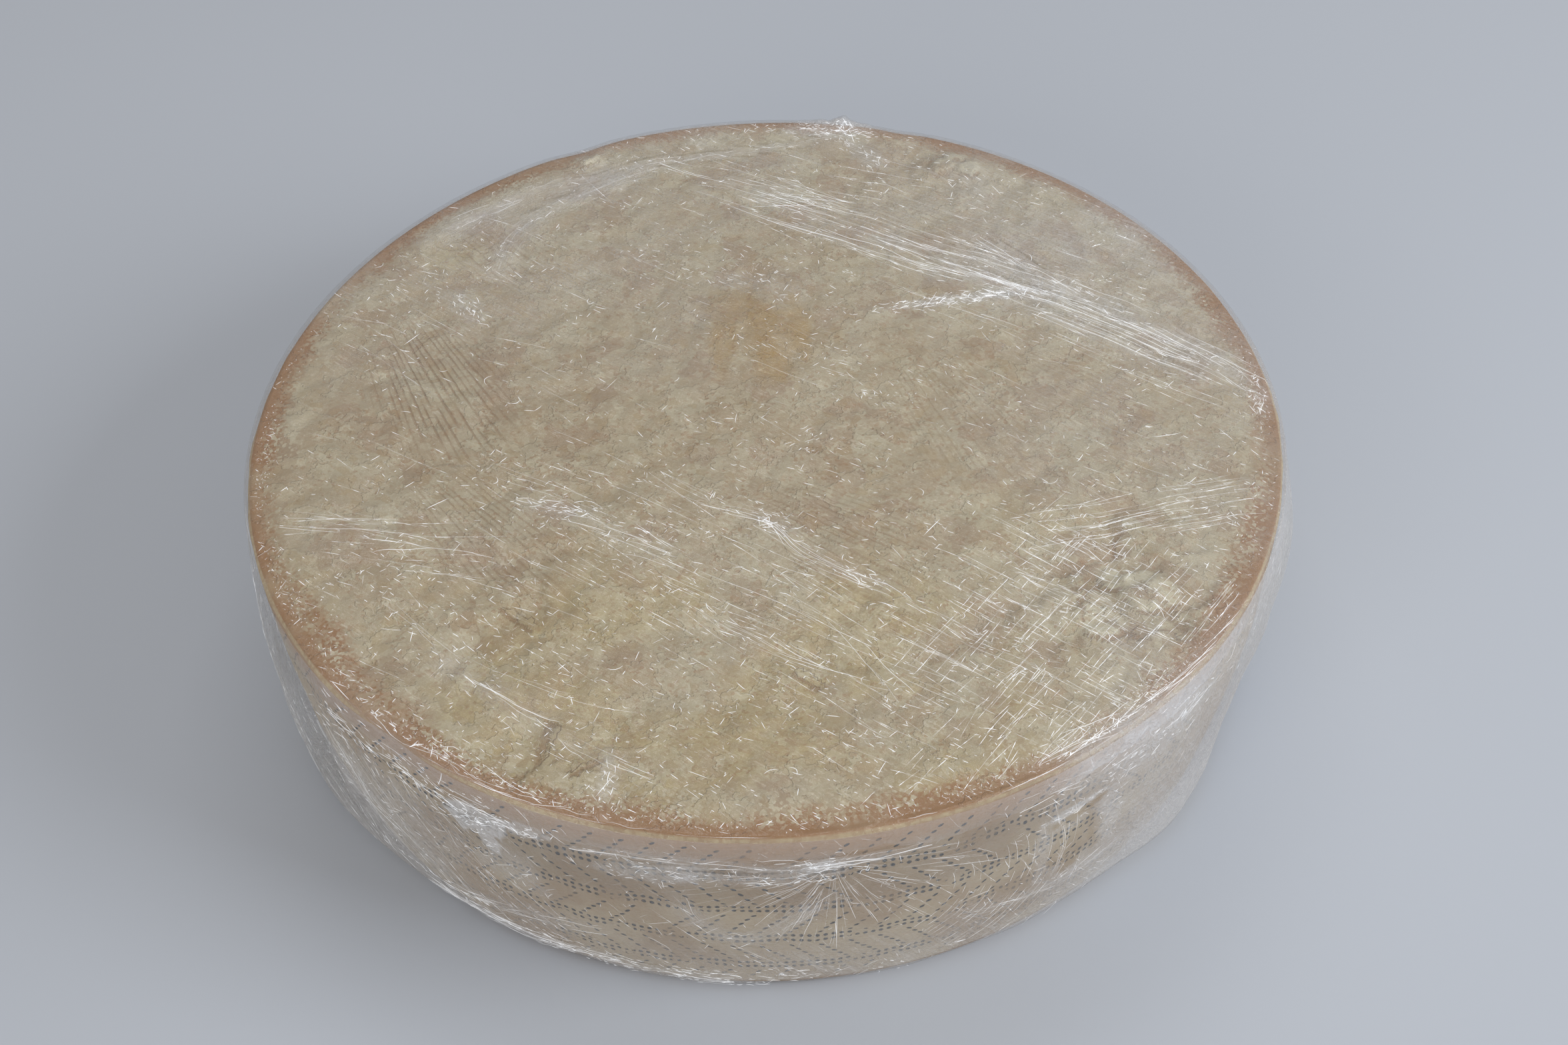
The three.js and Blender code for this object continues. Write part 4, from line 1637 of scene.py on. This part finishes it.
    def broken_lines(self, patch: BrokenLines) -> None:
        """Long faint lines side by side, each with a few bright stretches."""
        draws, count = self.draws, patch.count
        lean = math.radians(patch.turn)
        along, across = draws.uniform(-1, 1, (2, count)) * np.array([[patch.long], [patch.wide]])
        if patch.chart is Chart.FACE:
            along, across = turned(along, across, lean)
        u, v = patch.u + along, patch.v + across
        turn = lean + draws.normal(0, math.radians(patch.spread), count)
        length = patch.length * np.exp(draws.normal(0, 0.45, count))
        gleam = patch.shine * (0.35 + 0.65 * draws.random(count))
        if patch.chart is Chart.SIDE:
            gleam = gleam * self.hidden_by_haze(u)

        right, up = turned(length / 2, 0.0, turn)
        keep = patch.chart.holds(u - right, v - up, 1.0) & patch.chart.holds(u + right, v + up, 1.0)
        u, v, turn, length, gleam = (q[keep] for q in (u, v, turn, length, gleam))
        count = len(u)
        if patch.length > 12:
            self.straight(patch.chart, u, v, turn, length, 0.15 + 0.1 * draws.random(count), gleam * 0.4,
                          0.0, CreaseKind.HOOKED)
        for _ in range(2):
            at = draws.uniform(-0.45, 0.45, count) * length
            piece = np.minimum(np.exp(draws.normal(1.15, 0.5, count)), length * 0.5)
            self.straight(patch.chart, u + at * np.cos(turn), v + at * np.sin(turn),
                          turn + draws.normal(0, 0.015, count), piece, 0.2 + 0.15 * draws.random(count),
                          gleam * (0.5 + 0.7 * draws.random(count)))

    def rim_sparkles(self, count: int) -> None:
        """Tiny bright points where the film clings to the crumbs inside the rim."""
        draws = self.draws
        u, v = self.round_face(211 - 8 * draws.random(count) ** 1.4)
        keep = draws.random(count) < (0.4 + 0.7 * smooth_noise(u, v, 14, 179)) * smooth(-v, -110, 40)
        u, v = u[keep], v[keep]
        size = len(u)
        length = 0.5 + 1.0 * draws.random(size)
        self.straight(Chart.FACE, u, v, draws.random(size) * math.pi, length, np.minimum(0.24, length * 0.3),
                      0.15 + 0.65 * draws.random(size) ** 2)

    def hooks(self, count: int) -> None:
        """Small bright hooks and curls here and there on the face."""
        draws = self.draws
        u, v = self.round_face(208 * np.sqrt(draws.random(count)))
        length = np.exp(draws.normal(1.1, 0.45, count))
        curl = np.where(draws.random(count) < 0.5, -1, 1) * (0.1 + 0.3 * draws.random(count)) * length
        self.straight(Chart.FACE, u, v, draws.random(count) * math.pi * 2, length,
                      0.2 + 0.12 * draws.random(count), 0.5 + 0.5 * draws.random(count), curl,
                      CreaseKind.HOOKED)

    def crumpled(self, crumple: Crumple) -> None:
        """Short bent creases thrown together in a crumple."""
        draws, count = self.draws, int(crumple.glints * 1.6)
        along = draws.normal(0, crumple.long * 0.6, count)
        across = draws.normal(0, crumple.wide * 0.6, count)
        right, up = turned(along, across, math.radians(crumple.turn))
        u, v = crumple.u + right, crumple.v + up
        length = np.exp(draws.normal(0.85, 0.5, count))
        lean = math.radians(crumple.turn) + draws.normal(0, 0.5, count)
        curl = draws.normal(0, 0.08, count) * length
        keep = crumple.chart.holds(u, v)
        width = 0.2 + 0.22 * draws.random(count) ** 2
        shine = crumple.shine * (0.4 + 0.6 * draws.random(count))
        self.straight(crumple.chart, *(q[keep] for q in (u, v, lean, length, width, shine, curl)),
                      CreaseKind.HOOKED)

    def pleated(self, streak: Streak, curve: Curve) -> None:
        """The long pleats of a bundle, which drift across it a little."""
        draws = self.draws
        count = int(round(streak.pleats * curve.length / streak.pleat_length * 1.3))
        length = streak.pleat_length * np.exp(draws.normal(0, 0.4, count))
        middle = draws.random(count) * curve.length
        start = draws.normal(0, streak.width * 0.62, count)
        drift = draws.normal(0, streak.width * 0.22, count)
        wave = draws.normal(0, 0.25, count)
        phase = draws.random(count) * 6

        def path(along: np.ndarray, across: np.ndarray) -> tuple[np.ndarray, np.ndarray]:
            """Places along each pleat."""
            s = np.clip(middle[:, None] + along * length[:, None], 0, curve.length)
            t = start[:, None] + drift[:, None] * along * 2
            t = t + wave[:, None] * np.sin(along * 9 + phase[:, None]) + across
            return curve.at(s, t)

        width = 0.17 + 0.16 * draws.random(count) ** 2
        shine = streak.shine * (0.3 + 0.7 * draws.random(count) ** 1.5)
        self.lay(CreaseKind.LONG, streak.chart, path, width, shine)

    def glint_streak(self, streak: Streak, curve: Curve) -> None:
        """Short bright glints down a bundle."""
        draws = self.draws
        count = int(curve.length * streak.pleats * 0.045)
        along, across = draws.random(count) * curve.length, draws.normal(0, streak.width * 0.8, count)
        u, v = curve.at(along, across)
        ahead = curve.at(np.minimum(along + 1, curve.length), across)
        back = curve.at(np.maximum(along - 1, 0), across)
        turn = np.arctan2(ahead[1] - back[1], ahead[0] - back[0]) + draws.normal(0, 0.16, count)
        keep = streak.chart.holds(u, v)
        length = np.exp(draws.normal(1.2, 0.6, count))
        width = 0.22 + 0.2 * draws.random(count) ** 2
        shine = streak.shine * (0.5 + 0.7 * draws.random(count))
        self.straight(streak.chart, *(q[keep] for q in (u, v, turn, length, width, shine)))

    def scatter_side(self, count: int) -> None:
        """Creases round the whole side, leaning with the pull of the film."""
        draws = self.draws
        u = (draws.random(count) - 0.5) * self.film.form.around
        v = 4 + 106 * draws.random(count)
        lean = np.where(draws.random(count) < 0.6, math.radians(-58), math.radians(40))
        lean = lean + draws.normal(0, 0.3, count)
        length = np.exp(draws.normal(1.3, 0.6, count))
        self.straight(Chart.SIDE, u, v, lean, length, 0.18 + 0.14 * draws.random(count),
                      (0.1 + 0.4 * draws.random(count) ** 2.5) * self.hidden_by_haze(u),
                      draws.normal(0, 0.06, count) * length)

    def star(self, count: int) -> None:
        """Rays of film from the knot at the front."""
        draws = self.draws
        turn = draws.uniform(-math.pi * 0.98, -0.02, count)
        reach = 5 + 42 * draws.random(count)
        length = np.exp(draws.normal(2.85, 0.45, count))
        reach = reach + length * 0.35
        knot_u, knot_v = self.film.KNOT
        u, v = knot_u + reach * np.cos(turn), knot_v + reach * np.sin(turn)
        keep = v > 5
        lean = turn + draws.normal(0, 0.05, count)
        width, shine = 0.13 + 0.1 * draws.random(count), 0.15 + 0.42 * draws.random(count) ** 3
        kept = (q[keep] for q in (u, v, lean, length, width, shine))
        self.straight(Chart.SIDE, *kept, 0.0, CreaseKind.HOOKED)

    def arcs(self) -> None:
        """Curved pleats, one outside another, right of the knot."""
        draws = self.draws
        for ring in range(self.rings):
            reach = 30 + ring * 3.7 + draws.normal(0, 0.6)
            turn = np.arange(-0.95, 0.35, 0.13) + draws.normal(0, 0.02)
            turn = turn[draws.random(len(turn)) < 0.6]
            u, v = 36 + reach * np.cos(turn), 66 + reach * np.sin(turn)
            keep = (v > 8) & (v < 104)
            u, v, turn = u[keep], v[keep], turn[keep]
            size = len(u)
            self.straight(Chart.SIDE, u, v, turn + math.pi / 2, np.full(size, reach * 0.17),
                          np.full(size, 0.19), 0.15 + 0.4 * draws.random(size), reach * -0.005)

    def gather(self, chart: Chart) -> bpy.types.Object:
        """Gather the creases of a chart in one piece."""
        name = f"film_crease_glints_{chart.value}"
        mesh = bpy.data.meshes.new(name)
        points, faces, shine = (np.concatenate(q) for q in zip(*self.made[chart]))
        mesh.from_pydata((points * MM).tolist(), [], faces.tolist())
        piece = bpy.data.objects.new(name, mesh)
        bpy.context.scene.collection.objects.link(piece)
        Workbench.paint(piece, "shine", shine)
        mesh.shade_smooth()
        return piece

    def build(self) -> list[bpy.types.Object]:
        """Lay every crease."""
        self.scatter_face(self.face_glints)
        self.rim_sparkles(self.rim_glints)
        self.hooks(self.curls)
        for patch in self.film.wrapping.lines:
            self.broken_lines(patch)
        for streak, curve in self.film.curves:
            self.pleated(streak, curve)
            self.glint_streak(streak, curve)
        for crumple in self.film.wrapping.crumples:
            self.crumpled(crumple)
        self.scatter_side(self.side_glints)
        self.star(self.rays)
        self.arcs()
        return [self.gather(chart) for chart in Chart]


# ------------------------------------------------------------------ studio


@dataclass(frozen=True)
class Softbox:
    """A square soft light that faces a point."""

    name: str
    place: tuple[float, float, float]
    size: float
    power: float
    colour: tuple[float, float, float] = WHITE
    aim: tuple[float, float, float] = (0.0, 0.0, 0.05)

    def light(self) -> None:
        """Hang the light."""
        lamp = bpy.data.lights.new(self.name, "AREA")
        lamp.shape, lamp.size, lamp.energy, lamp.color = "SQUARE", self.size, self.power, self.colour
        holder = bpy.data.objects.new(self.name, lamp)
        holder.location = self.place
        holder.rotation_euler = (Vector(self.aim) - Vector(self.place)).to_track_quat("-Z", "Y").to_euler()
        bpy.context.scene.collection.objects.link(holder)


@dataclass
class Studio:
    """Camera, lights and a plain pale floor."""

    eye: Vector = field(default_factory=lambda: Vector((0.006986, -0.668057, 0.736219)))
    look: Vector = field(default_factory=lambda: Vector((0.0, 0.698275, -0.715830)))
    right: Vector = field(default_factory=lambda: Vector((0.999273, -0.027296, -0.026627)))
    lens: float = 50.0
    sensor: float = 36.0
    floor_size: float = 6.0
    floor_drop: float = 0.0002
    floor_colour: tuple[float, ...] = linear(196, 202, 212)
    air_colour: tuple[float, ...] = linear(215, 213, 211)
    air_strength: float = 0.53
    boxes: tuple[Softbox, ...] = (
        Softbox("key", (2.0, -0.7, 1.25), 1.2, 31.0, (0.955, 0.98, 1.0)),
        Softbox("fill", (-0.9, -2.0, 0.8), 1.5, 17.5, (1.0, 0.965, 0.915)),
        Softbox("top", (0.0, 0.9, 1.8), 1.2, 6.0),
    )

    def camera(self) -> None:
        """Stand the camera where the near side shows below the broken face."""
        view = bpy.data.cameras.new("camera")
        view.lens, view.sensor_width, view.sensor_fit = self.lens, self.sensor, "HORIZONTAL"
        view.clip_start = 0.01
        up = self.right.cross(self.look)
        axes = Matrix((self.right, up, -self.look)).transposed()
        stand = bpy.data.objects.new("camera", view)
        stand.matrix_world = Matrix.Translation(self.eye) @ axes.to_4x4()
        bpy.context.scene.collection.objects.link(stand)
        bpy.context.scene.camera = stand

    def floor(self) -> None:
        """Lay the floor."""
        Workbench.clear()
        bpy.ops.mesh.primitive_plane_add(size=self.floor_size, location=(0, 0, -self.floor_drop))
        piece = Workbench.named("floor")
        g = Graph("floor")
        shader = g.matt(self.floor_colour, roughness=0.5, specular_ior_level=0.25)
        piece.data.materials.append(g.finish(shader))

    def air(self) -> None:
        """Fill the room with soft grey light."""
        world = bpy.data.worlds.new("room")
        world.use_nodes = True
        back = world.node_tree.nodes["Background"]
        back.inputs["Color"].default_value = (*self.air_colour, 1)
        back.inputs["Strength"].default_value = self.air_strength
        bpy.context.scene.world = world

    def build(self) -> None:
        """Set up the studio."""
        scene = bpy.context.scene
        scene.view_settings.view_transform = "Standard"
        scene.cycles.transparent_max_bounces = 16
        scene.cycles.diffuse_bounces = 2
        scene.cycles.glossy_bounces = 2
        self.camera()
        self.floor()
        self.air()
        for box in self.boxes:
            box.light()


# ------------------------------------------------------------------ assembly


def main() -> None:
    """Build the studio, the cheese and its film, and note the sizes."""
    logging.basicConfig(level=logging.INFO, format="%(message)s")
    form = WheelForm()
    Studio().build()

    cheese = Cheese(form)
    cheese.dress(cheese.build())

    film = FilmForm(form, cheese, Wrapping())
    clear = FilmFinish().material()
    for sheet in (FilmOverFace(film), FilmRoundSide(film)):
        Workbench.hand_over(sheet.build(), clear, "clear_film")
    glints = GlintFinish().material()
    for creases in FilmCreaseGlints(film).build():
        Workbench.hand_over(creases, glints, "clear_film")


if __name__ == "__main__":
    main()
